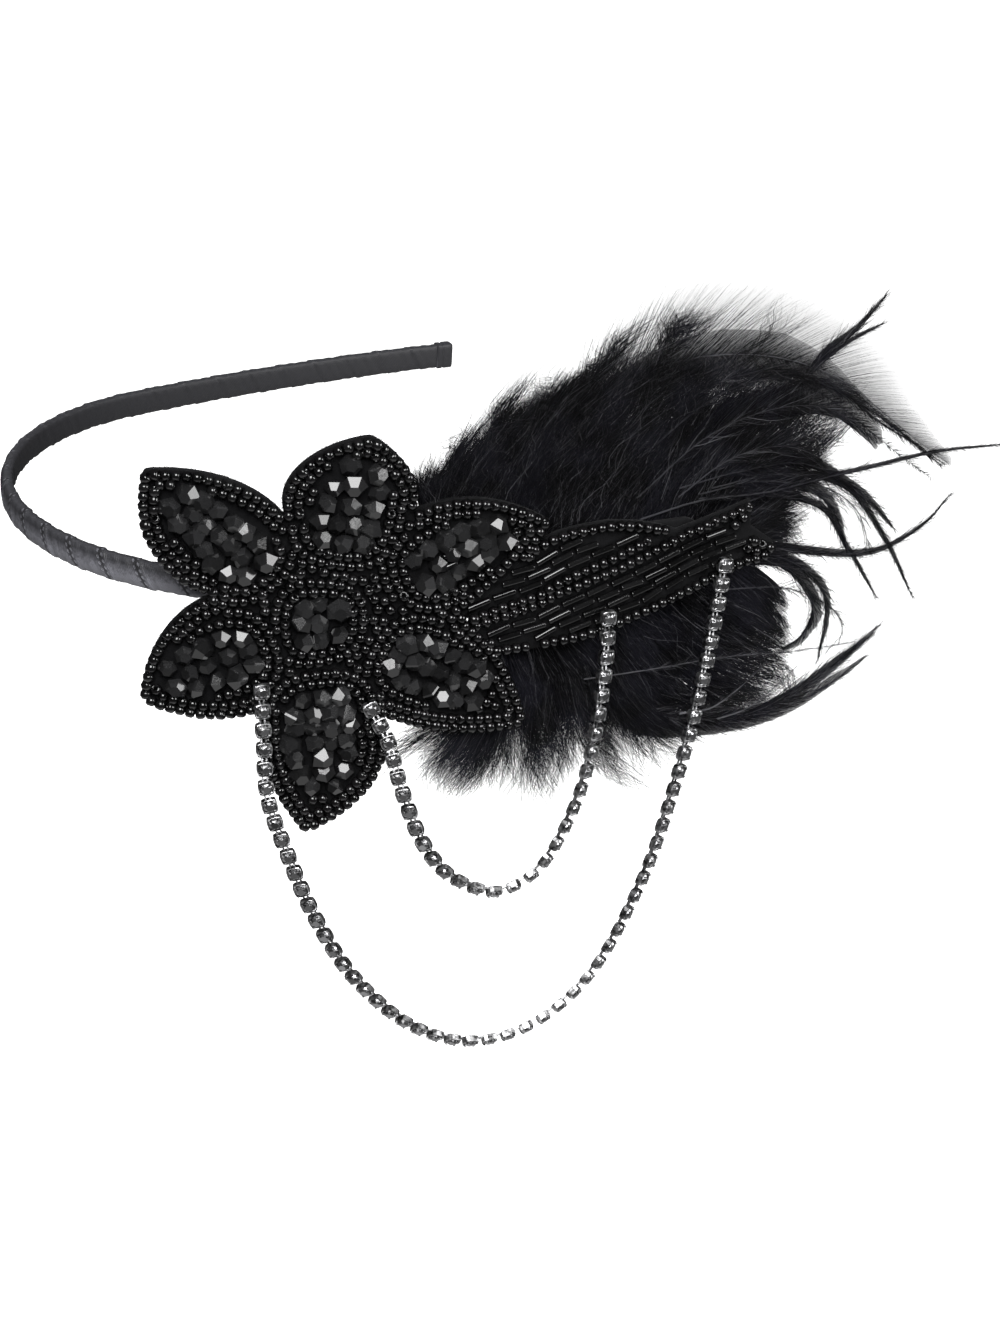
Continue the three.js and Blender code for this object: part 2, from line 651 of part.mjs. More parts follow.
// A chain: cups joined by flat bars into one skin
function chain(route, seats) {
  const places = cupPlaces(route, seats);
  const size = cupPoints().length;
  const points = [];
  const triangles = [];
  places.forEach((matrix, k) => {
    points.push(...cupPoints().map((point) => point.applyMatrix4(matrix)));
    const hasAfter = k < places.length - 1;
    triangles.push(...cupTriangles(k > 0, hasAfter).map((index) => k * size + index));
    if (hasAfter) {
      for (let j = 0; j < 4; j += 1) {
        const next = (j + 1) % 4;
        const from = k * size + 16;
        const to = (k + 1) * size + 20;
        triangles.push(from + j, from + next, to + next, from + j, to + next, to + j);
      }
    }
  });
  return meshFrom(points, triangles);
}

// Feathers
const FEATHER_SECTIONS = 5;
const FEATHER_TIP_THINNING = 0.6;
const FEATHER_LEAST_HALF_WIDTH = 0.5;

function feather(row) {
  const root = new THREE.Vector2(...row.root).multiplyScalar(PLUME_LENGTH);
  const tip = new THREE.Vector2(...row.tip).multiplyScalar(PLUME_LENGTH);
  const line = tip.clone().sub(root);
  const length = line.length();
  const normal = new THREE.Vector2(-line.y, line.x).divideScalar(length);
  const rings = [];
  for (let k = 0; k <= FEATHER_SECTIONS; k += 1) {
    const share = k / FEATHER_SECTIONS;
    const spine = root.clone().addScaledVector(line, share)
      .addScaledVector(normal, row.bow * length * Math.sin(Math.PI * share));
    const slope = row.bow * Math.PI * Math.cos(Math.PI * share);
    const side = normal.clone().addScaledVector(line.clone().divideScalar(length), -slope)
      .normalize();
    const shape = Math.sin(Math.PI * (0.03 + 0.95 * share)) ** 0.7;
    const half = Math.max(row.width * length * shape, FEATHER_LEAST_HALF_WIDTH);
    const thick = (PLUME_THICKNESS / 2) * (1 - FEATHER_TIP_THINNING * share);
    const level = PAD_LEVEL + row.forward * PLUME_LENGTH * share ** 3;
    const edge = (reach, out) => sheetPoint(
      PAD_START + spine.x + side.x * reach, spine.y + side.y * reach, level + out);
    rings.push([edge(-half, 0), edge(0, -thick), edge(half, 0), edge(0, thick)]);
  }
  return loft(rings);
}

const PAD_FRONT = FELT_BACK - PAD_CLEARANCE;
const PAD_LEVEL = PAD_FRONT - PAD_THICKNESS / 2;
const PAD_STEPS = 6;

// A plume: feathers fused to a pad that lies behind the felt, beside the band
function plume(rows, side) {
  const near = BAND_WIDTH / 2 + RIBBON_STEP + PAD_CLEARANCE;
  const far = near + PAD_HEIGHT;
  const stations = [];
  for (let k = 0; k <= PAD_STEPS; k += 1) {
    const across = PAD_START + (PAD_LENGTH * k) / PAD_STEPS;
    stations.push({ across, low: side > 0 ? near : -far, high: side > 0 ? far : -near });
  }
  const pad = strip(stations, PAD_FRONT - PAD_THICKNESS, PAD_FRONT);
  return fuse([pad, ...rows.map(feather)]);
}

// Assembly
const headpiece = new THREE.Group();

function add(name, geometry, material) {
  const mesh = new THREE.Mesh(geometry, material);
  mesh.name = name;
  headpiece.add(mesh);
}

add('headband', headband(), RIBBON);
add('ribbon_end_near', ribbonFold(1), RIBBON);
add('ribbon_end_far', ribbonFold(-1), RIBBON);
add('flower_felt', flowerFelt(), FELT);
add('flower_seed_beads', flowerBeads(), BEADS);
for (const petal of PETALS) {
  add(`petal_stones_${petal.name}`, stoneField(petal), STONE);
}
add('centre_stones', stoneField(CENTRE_FIELD), STONE);
add('leaf_felt', leafFelt(), FELT);
add('leaf_seed_beads', leafBeads(), BEADS);
add('leaf_bugles_upper', strip(UPPER_BUGLES(), BEAD_BACK, BEAD_FRONT), BEADS);
add('leaf_bugles_lower', strip(LOWER_BUGLES(), BEAD_BACK, BEAD_FRONT), BEADS);
add('chain_long', chain(LONG_CHAIN_ROUTE, LONG_CHAIN_SEATS), CUP);
add('chain_short', chain(SHORT_CHAIN_ROUTE, SHORT_CHAIN_SEATS), CUP);
add('plume_upper', plume(UPPER_FEATHERS, 1), FEATHER);
add('plume_lower', plume(LOWER_FEATHERS, -1), FEATHER);

export default headpiece;
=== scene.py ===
import math
from collections import namedtuple

import bpy
import numpy as np
from bpy.props import FloatProperty, FloatVectorProperty, IntProperty, PointerProperty
from bpy.types import Operator, Panel, PropertyGroup
from mathutils import Matrix, Vector


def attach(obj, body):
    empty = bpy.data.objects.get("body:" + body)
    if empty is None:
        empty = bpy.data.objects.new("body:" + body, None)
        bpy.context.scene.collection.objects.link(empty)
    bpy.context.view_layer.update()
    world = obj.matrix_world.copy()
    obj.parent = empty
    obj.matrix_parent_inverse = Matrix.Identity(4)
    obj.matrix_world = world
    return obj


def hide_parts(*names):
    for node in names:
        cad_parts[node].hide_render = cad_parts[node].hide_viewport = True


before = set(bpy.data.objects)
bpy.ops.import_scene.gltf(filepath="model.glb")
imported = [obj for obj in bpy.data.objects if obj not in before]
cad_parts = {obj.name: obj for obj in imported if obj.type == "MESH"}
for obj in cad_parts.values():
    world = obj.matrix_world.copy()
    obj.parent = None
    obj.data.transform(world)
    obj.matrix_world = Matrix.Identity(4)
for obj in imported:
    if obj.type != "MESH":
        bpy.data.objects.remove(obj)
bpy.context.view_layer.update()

bl_info = {
    "name": "Feather Headband",
    "version": (1, 0, 0),
    "blender": (4, 5, 0),
    "location": "3D View > Sidebar > Headband",
    "description": "Dresses a headband: ribbon, felt, beads, cut stones, cup chains and feathers",
    "category": "Object",
}

# Lengths below are in millimetres, and meshes are written in metres.
MM = 0.001

# The band's centre line, the ornament's bend and the levels of its layers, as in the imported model.
# The felt's back alone lies 0.2 mm further out, clear of the crowned ribbon.
BAND_THICKNESS = 2.0
BAND_WIDTH = 5.6
BAND_RADIUS = 60.5
CROWN_HALF_ANGLE = math.radians(78.5)
CROWN_LENGTH = BAND_RADIUS * CROWN_HALF_ANGLE
ARM_RADIUS = 414.0
ARM_LENGTH = 87.0
FOLD_LENGTH = 4.2
FLOWER_BEND_RADIUS = 150.0
FLOWER_CENTRE = np.array([-5.4, -5.4])
FLOWER_REACH = 52.9
FELT_BACK = 2.1
FELT_FRONT = 3.4
BEAD_LEVEL = 4.45
CHAIN_LEVEL = 7.05

# The felt pad at each plume's root: its thickness, its front, its two ends across the sheet and
# its nearer and farther edge from the band's middle
PAD_THICKNESS = 1.8
PAD_FRONT = 1.5
PAD_ENDS = (14, 78)
PAD_EDGES = (3.45, 8.45)

# How far out along its guides the web under each field of soft strands goes
FIELD_WEBS = (0.84, 0.45)

# tip and clef are the angles of a petal's tip and of the notch before it, reach and clef_reach how
# far they lie from the centre, and rise and fall the powers of its two sides. angle, place, length
# and width are those of its oval of stones. All but angles and powers are shares of FLOWER_REACH.
Petal = namedtuple("Petal", "name tip reach clef clef_reach rise fall angle place length width")
PETALS = [
    Petal("right_upper", 21, 0.97, -3, 0.57, 1.1, 0.85, 25, 0.6, 0.42, 0.23),
    Petal("top", 76, 0.77, 51, 0.55, 0.5, 0.45, 77, 0.49, 0.37, 0.27),
    Petal("left_upper", 136.5, 0.9, 107, 0.46, 0.85, 0.5, 136, 0.53, 0.46, 0.24),
    Petal("left_lower", 206, 0.74, 163, 0.41, 0.9, 1.0, 202, 0.44, 0.38, 0.24),
    Petal("bottom", 267.5, 0.91, 240, 0.42, 1.0, 0.5, 272, 0.51, 0.46, 0.28),
    Petal("right_lower", 328.5, 1.0, 300, 0.48, 1.2, 1.1, 332, 0.54, 0.46, 0.25),
]
CENTRE_FIELD = Petal("centre", 0, 0, 0, 0, 0, 0, 0, 0, 0.212, 0.212)
FIELD_FULLNESS = 0.72
FIELD_TAPER = 0.12
EDGE_INSET = 0.95
BUGLE_GAP = 0.7

# The leaf's felt edge and its lines of beads, across and up on the ornament's sheet
LEAF_TOP = [(26.0, -8.0), (33.0, 1.5), (40.0, 8.0), (45.0, 10.0), (50.0, 10.8), (56.2, 11.2),
            (63.0, 10.3), (69.1, 8.6), (72.5, 7.2), (80.7, 9.2), (89.9, 11.6), (90.6, 5.6),
            (97.0, 0.9)]
LEAF_BOTTOM = [(26.0, -16.6), (38.5, -16.2), (48.7, -15.7), (56.2, -14.6), (63.0, -12.7),
               (69.1, -10.5), (72.5, -9.3), (80.7, -6.3), (89.9, -3.7), (93.4, -3.2), (97.0, -2.2)]
LEAF_TOP_BEADS = [(39.5, 7.0), (45.0, 9.1), (51.0, 10.0), (57.0, 10.3), (63.0, 9.4), (68.8, 7.9)]
LEAF_LOW_BEADS = [(95.2, 0.2), (93.6, -1.4), (88.9, -2.2), (84.4, -3.5), (79.2, -5.3), (74.6, -7.0),
                  (68.6, -9.1), (61.7, -11.2), (54.8, -13.2), (46.8, -14.3), (37.8, -14.9),
                  (28.0, -15.2)]
LEAF_TIP_BEADS = [(88.8, 10.4), (87.7, 8.2), (85.5, 6.4), (87.4, 4.3), (90.4, 2.6), (93.0, 1.3),
                  (95.2, 0.2)]
LEAF_TIP_INNER = [(85.9, 8.8), (83.4, 6.7), (84.6, 3.6), (88.2, 1.6), (91.6, 0.0)]
LEAF_RIB_UPPER = [(17.0, -11.0), (25.0, -8.0), (33.5, -5.2), (40.0, -3.8), (46.0, -0.8), (54.8, 2.2),
                  (61.0, 4.4), (68.8, 7.7)]
LEAF_RIB_LOWER = [(22.0, -11.6), (28.0, -8.8), (33.0, -7.3), (39.5, -5.9), (46.1, -3.3), (55.0, -0.6),
                  (64.0, 2.3), (70.0, 4.8), (76.0, 7.0), (82.0, 8.6), (88.8, 10.4)]

# Each chain's two seats, across the sheet, and its route from the first of them, across and up
LONG_CHAIN = ((-16.9, 84.8), [
    (0.0, -19.0), (0.6, -30.4), (1.6, -43.7), (5.7, -56.6), (12.4, -73.8), (21.7, -90.4),
    (35.2, -104.6), (48.6, -110.8), (61.8, -109.6), (75.4, -99.8), (87.3, -76.8),
    (94.2, -51.2), (98.7, -26.0), (101.4, -1.0)])
SHORT_CHAIN = ((5.0, 56.6), [
    (0.0, -24.4), (3.7, -31.8), (7.4, -44.4), (12.5, -57.5), (18.2, -65.6), (26.7, -71.0),
    (31.3, -71.6), (39.2, -67.4), (46.8, -52.7), (50.4, -36.0), (51.7, -18.5), (51.6, -9.3)])

# How a feather's strands lie. left and right are the reach either side of the shaft, one number or
# one for each stretch of it, angles are to the shaft at its root and tip, and bare is the share of
# the shaft with no strands. pitch is the step between strands, strand their width, curl how far
# they turn to the shaft's heading and loose how much they stray. web is the share of the reach
# closed by a thin web and sheer how open that web is, at its root and tip. shaft is the shaft's
# radius, and light makes more of the strands, and the shaft, painted pale: painted highlights of
# strands that catch the light.
Style = namedtuple("Style", "left right angles bare pitch strand curl loose web sheer shaft light")
SLEEK = Style(6.5, 6.5, (30, 14), 0.15, 0.14, 0.1, 0.5, 0.35, 0.9, (0.0, 0.25), 0.2, 0.0)
SHEER = Style((12, 16, 15.5, 13, 10.5, 8.5, 6, 3.5, 1), (5, 6, 7, 6, 4, 1.5, 0.8, 0.5, 0.3), (52, 22),
              0.08, 0.13, 0.05, 0.3, 0.1, 0.97, (0.75, 0.6), 0.22, 0.6)
WISP = Style(2.6, 2.6, (24, 12), 0.2, 0.25, 0.08, 0.3, 0.5, 0.0, (0, 0), 0.2, 0.1)
SPIKE = Style(4.0, 4.0, (20, 11), 0.15, 0.13, 0.1, 0.4, 0.7, 0.5, (0.0, 0.15), 0.2, 0.0)

# Fields of soft strands. They follow guide lines from root to tip, across, up and front. edge is
# the share of strands that end at the tips of the guides, drift how far they cross them, depth how
# far they leave the sheet, clump the step between tufts, in guides, and ragged how unevenly the
# tufts end.
Field = namedtuple("Field", "count length width drift edge depth clump ragged guides")
UPPER_GUIDES = [
    [(18, 2, -1), (16, 15, 1), (14, 25, 2)], [(23, 1, -1), (20, 17, 1), (19, 28, 2)],
    [(27, 1, -1), (26, 20, 1), (28, 36, 2)], [(31, 1, -1), (34, 23, 1), (39, 43, 2)],
    [(36, 1, -1), (41, 27, 1), (50, 48, 2)], [(42, 1, -1), (50, 28, 1), (61, 50, 2)],
    [(49, 1, -1), (62, 29, 0), (74, 47, 0)], [(57, 1, -1), (73, 28, -1), (87, 45, -1)],
    [(66, 1, -1), (85, 26, -1), (103, 41, -1)], [(75, 0, -1), (94, 21, -1), (113, 33, -1)],
    [(82, 0, -1), (98, 13, -1), (117, 23, -1)], [(86, 0, -1), (98, 5, -1), (111, 9, -1)],
    [(88, -1, -1), (98, -2, -1), (107, -4, -1)]]
UPPER_FIELDS = [
    Field(10000, 14, 0.13, 0.5, 0.15, 1.4, 0.4, 0.05, UPPER_GUIDES),
    Field(18000, 9, 0.11, 0.9, 0.4, 2.2, 0.16, 0.1, UPPER_GUIDES[:8]),
    Field(3200, 16, 0.1, 0.7, 0.6, 1.4, 0.2, 0.16, UPPER_GUIDES[7:]),
]
LOWER_GUIDES = [
    [(33, -24, -1), (22, -30, 0), (12, -33, 1)], [(34, -26, -1), (25, -36, 0), (13, -44, 1)],
    [(37, -26, -1), (30, -40, 0), (23, -51, 1)], [(40, -26, -1), (37, -41, 0), (35, -54, 1)],
    [(46, -25, -1), (47, -41, 0), (48, -53, 1)], [(51, -24, -1), (56, -39, 0), (62, -50, 1)],
    [(57, -23, -1), (65, -37, 0), (74, -49, 1)], [(62, -22, -1), (72, -36, 0), (86, -47, 1)]]
LOWER_SMOOTH = [
    [(30, -14, -1), (33, -27, -1), (36, -37, -1)], [(38, -12, -1), (45, -29, -1), (52, -40, -1)],
    [(44, -12, -1), (60, -32, -1), (74, -44, -1)], [(53, -11, -1), (75, -36, -1), (92, -46, -1)],
    [(62, -9, -1), (86, -33, -1), (106, -43, -1)], [(72, -6, -1), (93, -25, -1), (110, -35, -1)],
    [(81, -3, -1), (98, -17, -1), (107, -25, -1)], [(88, -1, -1), (99, -9, -1), (106, -16, -1)]]
LOWER_FIELDS = [
    Field(9000, 15, 0.12, 0.25, 0.25, 1.0, 0.5, 0.04, LOWER_SMOOTH),
    Field(9000, 20, 0.08, 0.7, 0.4, 2.6, 0.18, 0.2, LOWER_GUIDES),
    Field(2200, 13, 0.1, 0.6, 0.6, 1.2, 0.25, 0.14, LOWER_SMOOTH[3:]),
]

# Single feathers, one line each
SHAFT_LINE = [(46, 27, -1), (56, 36, -1), (65, 41, -1.5), (74, 43, -1.5), (85, 43, -1.5),
              (97, 41, -1), (108, 37, -1), (117, 32, -1), (126, 25, -0.5), (138, 16, -0.5), (148, 9, 0)]
UPPER_FEATHERS = [
    (SHEER, SHAFT_LINE),
    (SHEER._replace(left=(17, 21, 18, 11, 5, 3, 2, 1.5, 1), right=1, angles=(50, 24), strand=0.15,
                    pitch=0.3, loose=0.35, web=0, light=0), [
                        (a - 4, b - 3, c - 0.8) for a, b, c in SHAFT_LINE]),
    (SHEER._replace(left=(2, 4, 6, 6, 4, 1.5, 0.6, 0.3, 0.2), right=(8, 9, 11, 11, 7, 2, 1, 0.6, 0.3),
                    pitch=0.16, strand=0.08, sheer=(0.3, 0.85), light=0.0), [
                        (a, b - 0.5, c - 1.5) for a, b, c in SHAFT_LINE]),
    (SLEEK._replace(left=6, right=6, web=1.0), [(64, 14, 0), (80, 26, 0), (95, 30, 0), (108, 29, 0),
                                                (118, 24, 0), (125, 18, 0)]),
    (SPIKE._replace(left=2.2, right=2.2, web=0.2), [
        (60, 21, 0), (75, 35, 0), (92, 39, 0), (110, 34, 0), (125, 23, 0), (136, 16, 1), (144, 10, 1)]),
    (SPIKE._replace(left=2.4, right=2.6, web=0.2), [
        (64, 23, 0), (82, 35, 0), (99, 37, 0), (116, 30, 0), (131, 20, 0), (141, 12, 1)]),
    (SPIKE._replace(left=1.7, right=1.7, web=0.5, pitch=0.14, shaft=0.28), [
        (65, 9, 0), (79, 12, 1), (95, 12, 2), (108, 13, 2), (119, 14, 3), (139, 15, 4), (163, 13, 5)]),
    (WISP._replace(left=4, right=5, pitch=0.15), [
        (74, 13, 0), (84, 20, 1), (94, 22, 1), (104, 20, 1), (113, 13, 1)]),
    (SPIKE._replace(left=3.6, right=3.6), [
        (74, 15, 0), (89, 17, 0), (104, 17, 1), (116, 11, 1), (124, 5, 1), (132, -3, 1)]),
    (SPIKE, [(79, 13, 0), (94, 14, 0), (108, 10, 1), (114, 4, 1), (118, -4, 1)]),
    (SPIKE._replace(left=2.2, right=2.2), [
        (79, 12, 0), (94, 11, 0), (110, 6, 1), (119, -5, 1), (129, -19, 1)]),
    (SPIKE._replace(left=2.4, right=2.4), [
        (82, 14, 0), (99, 15, 0), (116, 10, 1), (129, -4, 1), (140, -21, 1)]),
    (WISP._replace(left=4, right=4), [(90, 10, 1), (106, 12, 1), (120, 4, 1), (126, -8, 1)]),
    (SPIKE._replace(left=2.6, right=2.2), [(100, 33, 0), (107, 40, 0), (114, 45, 1), (122, 52, 1)]),
    (SPIKE._replace(left=1.6, right=1.8), [(102, 35, 0), (109, 40, 0), (116, 44, 1), (122, 46, 1)]),
    (SPIKE._replace(left=3.2, right=2.4), [
        (78, 2, 0), (98, -2, 0), (121, -7, 1), (130, -7, 1), (142, -3, 1), (148, 2, 1)]),
]
LOWER_FEATHERS = [
    (SPIKE._replace(left=3, right=3), [
        (81, -2, 0), (99, -4, 0), (107, -8, 1), (113, -14, 1), (115, -21, 1), (114, -31, 1)]),
    (SPIKE, [(86, -5, 0), (100, -6, 0), (107, -11, 1), (111, -18, 1), (109, -24, 1), (104, -27, 1)]),
    (WISP._replace(left=3, right=3), [
        (86, -10, 0), (105, -13, 0), (118, -21, 1), (120, -26, 1), (116, -30, 1)]),
    (SLEEK._replace(left=6, right=4.5, light=1.0, web=0.5, loose=0.5), [
        (59, -30, 0), (79, -40, 0), (95, -42, 0), (108, -40, 0), (121, -34, 0), (132, -27, 0)]),
    (SPIKE._replace(left=5, right=4), [
        (54, -27, 0), (74, -38, 0), (92, -42, 0), (105, -40, 0), (119, -34, 0), (130, -29, 0)]),
    (SLEEK._replace(left=5, right=4, web=0.7, loose=0.45), [
        (49, -26, -1), (69, -40, -1), (90, -44, -1), (108, -43, -1), (121, -38, 0), (129, -34, 0)]),
    (WISP._replace(left=1.5, right=1.5, light=0.6), [
        (54, -26, 1), (70, -26, 1), (88, -26, 1), (107, -28, 1), (124, -29, 1)]),
    (WISP._replace(left=1.2, right=1.2, light=1.0, shaft=0.3), [
        (78, -38, 1), (86, -38, 1), (92, -35, 1), (99, -30, 1)]),
    (WISP._replace(left=1.2, right=1.2, light=1.0, shaft=0.25), [
        (88, -41, 1), (95, -40, 1), (101, -37, 1), (108, -32, 1)]),
]


# The studio. Each lamp has its place, its side and its power, and the camera stands back from
# the target and a little to one side. Its focal length is in pixels of a frame 1333 high.
LAMPS = (("key", (-0.35, -0.85, 0.75), 0.62, 17.0),
         ("fill", (0.75, -0.8, 0.35), 0.5, 7.0),
         ("top", (0.1, -0.1, 1.1), 0.6, 12.0))
TARGET = Vector((0.06, 0.0, 0.0))
AZIMUTH, ELEVATION, ROLL = (math.radians(angle) for angle in (-28.13, 24.89, 3.0))
CAMERA_BACK, CAMERA_RIGHT, CAMERA_DOWN = 0.622, 0.04772, 0.04132
FRAME_HEIGHT, FOCAL_PIXELS = 1333.0, 2791.7
FLOOR_SIDE, FLOOR_LEVEL = 6.0, -0.26


# Surfaces

def unit(vectors):
    """Each vector divided by its length."""
    return vectors / np.maximum(np.linalg.norm(vectors, axis=-1, keepdims=True), 1e-9)


def squared(value, power):
    """A value raised to a power with its sign kept. On a circle's cosine and sine, powers under
    one give a rounded box."""
    return np.sign(value) * np.abs(value) ** power


def around(count, start=0.0):
    """Angles of a full turn in equal steps."""
    return np.linspace(start, start + 2 * math.pi, count, endpoint=False)


def spun(profile, sides):
    """A profile of places along an axis and out from it, carried round the axis."""
    turn = around(sides)
    return np.stack(np.broadcast_arrays(
        profile[:, :1], profile[:, 1:] * np.cos(turn), profile[:, 1:] * np.sin(turn)), -1)


def band_point(along, out, up):
    """A place by the band: along its centre line, out from the head and up.
    The crown is an arc, x = R (1 - cos turn), y = R sin turn, and each arm a flatter arc."""
    along, out, up = np.broadcast_arrays(*np.atleast_1d(along, out, up))
    length = np.abs(along)
    side = np.where(along < 0, 1.0, -1.0)
    turn = np.minimum(length, CROWN_LENGTH) / BAND_RADIUS
    sweep = np.maximum(length - CROWN_LENGTH, 0) / ARM_RADIUS
    x = (BAND_RADIUS * (1 - np.cos(turn)) - BAND_THICKNESS / 2
         + ARM_RADIUS * (math.cos(CROWN_HALF_ANGLE) - np.cos(CROWN_HALF_ANGLE + sweep)))
    y = (BAND_RADIUS * np.sin(turn)
         + ARM_RADIUS * (np.sin(CROWN_HALF_ANGLE + sweep) - math.sin(CROWN_HALF_ANGLE)))
    heading = turn + sweep
    return np.stack([x - out * np.cos(heading), side * (y + out * np.sin(heading)), up], -1)


def sheet_point(across, up, front):
    """A place on the ornament's sheet. It follows the arm where across is positive, and an arc
    of FLOWER_BEND_RADIUS from the arm's start where it is negative."""
    across, up, front = np.broadcast_arrays(*np.atleast_1d(across, up, front))
    point = band_point(CROWN_LENGTH + np.maximum(across, 0), front, up)
    start = math.pi / 2 - CROWN_HALF_ANGLE
    turn = start + np.maximum(-across, 0) / FLOWER_BEND_RADIUS
    radius = FLOWER_BEND_RADIUS + front
    point[..., 0] -= radius * (np.sin(turn) - math.sin(start))
    point[..., 1] += radius * (math.cos(start) - np.cos(turn))
    return point


def sheet_axes(across):
    """The sheet's own directions at a place: across, up and front."""
    bend = np.where(across < 0, FLOWER_BEND_RADIUS, ARM_RADIUS)
    turn = math.pi / 2 - CROWN_HALF_ANGLE - across / bend
    zero = np.zeros_like(turn)
    wide = np.stack([np.cos(turn), -np.sin(turn), zero], -1)
    front = np.stack([-np.sin(turn), -np.cos(turn), zero], -1)
    return np.stack([wide, np.broadcast_to([0.0, 0.0, 1.0], wide.shape), front], -2)


def on_sheet(points):
    """Points given as across, up and front, on the sheet."""
    return sheet_point(points[..., 0], points[..., 1], points[..., 2])


def smooth_line(points, steps=24):
    """A centripetal Catmull-Rom curve through the points, as steps places in each stretch."""
    points = np.asarray(points, float)
    ends = np.vstack([2 * points[0] - points[1], points, 2 * points[-1] - points[-2]])
    gap = np.maximum(np.linalg.norm(np.diff(ends, axis=0), axis=1) ** 0.5, 1e-4)[:, None]
    p0, p1, p2, p3 = ends[:-3], ends[1:-2], ends[2:-1], ends[3:]
    g0, g1, g2 = gap[:-2], gap[1:-1], gap[2:]
    m1 = ((p1 - p0) / g0 - (p2 - p0) / (g0 + g1) + (p2 - p1) / g1) * g1
    m2 = ((p2 - p1) / g1 - (p3 - p1) / (g1 + g2) + (p3 - p2) / g2) * g1
    t = (np.arange(steps) / steps)[None, :, None]
    p1, p2, m1, m2 = (part[:, None, :] for part in (p1, p2, m1, m2))
    line = (p1 + m1 * t + (3 * (p2 - p1) - 2 * m1 - m2) * t ** 2
            + (2 * (p1 - p2) + m1 + m2) * t ** 3)
    return np.vstack([line.reshape(-1, points.shape[1]), points[-1:]])


def along_line(line, at):
    """Places on a line at shares of its length, from 0 to 1."""
    reach = np.concatenate([[0], np.cumsum(np.linalg.norm(np.diff(line, axis=0), axis=1))])
    return np.stack([np.interp(np.asarray(at) * reach[-1], reach, part) for part in line.T], -1)


def ahead_on(line, at, step):
    """The way a line runs at shares of its length, from a step before to a step after."""
    return along_line(line, at + step) - along_line(line, at - step)


def heading_of(angle):
    """The flat vector of length 1 at an angle."""
    return np.stack([np.cos(angle), np.sin(angle)], -1)


def line_length(line):
    """The sum of the steps along a line."""
    return np.linalg.norm(np.diff(line, axis=0), axis=1).sum()


def grid(rows, cols, close_rows=False, close_cols=False):
    """Quads between neighbours in a grid of points, rows by cols."""
    i = np.arange(rows if close_rows else rows - 1)[:, None]
    j = np.arange(cols if close_cols else cols - 1)[None, :]
    after, beside = (i + 1) % rows, (j + 1) % cols
    corners = np.broadcast_arrays(i * cols + j, i * cols + beside, after * cols + beside,
                                  after * cols + j)
    return np.stack(corners, -1).reshape(-1, 4)


def repeated(faces, count, size):
    """The same faces for each of a count of copies, each copy of a size in points."""
    shift = size * np.arange(count)[:, None, None]
    return (faces[None] + shift).reshape(-1, faces.shape[1])


def copies(template, faces, frames, places):
    """The template's points in each frame at each place, with its faces repeated."""
    points = np.einsum("pk,nkc->npc", template, frames) + places[:, None, :]
    return points.reshape(-1, 3), [repeated(part, len(places), len(template)) for part in faces]


def joined(parts):
    """Several sets of points, faces and values for each point as one."""
    counts = np.cumsum([0] + [len(part[0]) for part in parts])
    faces = [face + count for part, count in zip(parts, counts) for face in part[1]]
    values = [np.concatenate(value) for value in zip(*(part[2:] for part in parts))]
    return (np.vstack([part[0] for part in parts]), faces, *values)


def make_piece(name, points, faces, material, slot, nodes, uv=None, shade=None, smooth=True):
    """One named mesh from whole arrays. It rides on the headband and stands for the nodes."""
    mesh = bpy.data.meshes.new(name)
    corners = np.concatenate([part.ravel() for part in faces]).astype(np.int32)
    sizes = np.concatenate([np.full(len(part), part.shape[1]) for part in faces])
    starts = np.concatenate([[0], np.cumsum(sizes)[:-1]]).astype(np.int32)
    mesh.vertices.add(len(points))
    mesh.vertices.foreach_set("co", (points * MM).astype(np.float32).ravel())
    mesh.loops.add(len(corners))
    mesh.loops.foreach_set("vertex_index", corners)
    mesh.polygons.add(len(sizes))
    mesh.polygons.foreach_set("loop_start", starts)
    mesh.update(calc_edges=True)
    mesh.polygons.foreach_set("use_smooth", np.full(len(sizes), smooth))
    if uv is not None:
        layer = mesh.uv_layers.new(name="Surface")
        layer.uv.foreach_set("vector", uv[corners].astype(np.float32).ravel())
    if shade is not None:
        mesh.attributes.new("shade", "FLOAT", "POINT").data.foreach_set(
            "value", shade.astype(np.float32))
    mesh.validate()
    mesh.materials.append(material)
    piece = bpy.data.objects.new(name, mesh)
    bpy.context.scene.collection.objects.link(piece)
    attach(piece, "root")
    if nodes:
        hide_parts(*nodes)
    return piece


# Materials

class Value:
    """A number that varies over a surface. Arithmetic on it adds Math nodes."""

    def __init__(self, finish, socket):
        self.finish = finish
        self.socket = socket

    def math(self, operation, *others):
        """The result of a Math node on this value and others."""
        inputs = {0: self}
        inputs.update({k + 1: other for k, other in enumerate(others)})
        return self.finish.node("ShaderNodeMath", {"operation": operation}, inputs)["Value"]

    def __add__(self, other):
        return self.math("ADD", other)

    def __sub__(self, other):
        return self.math("SUBTRACT", other)

    def __rsub__(self, other):
        return (self * -1).math("ADD", other)

    def __mul__(self, other):
        return self.math("MULTIPLY", other)

    __radd__ = __add__
    __rmul__ = __mul__


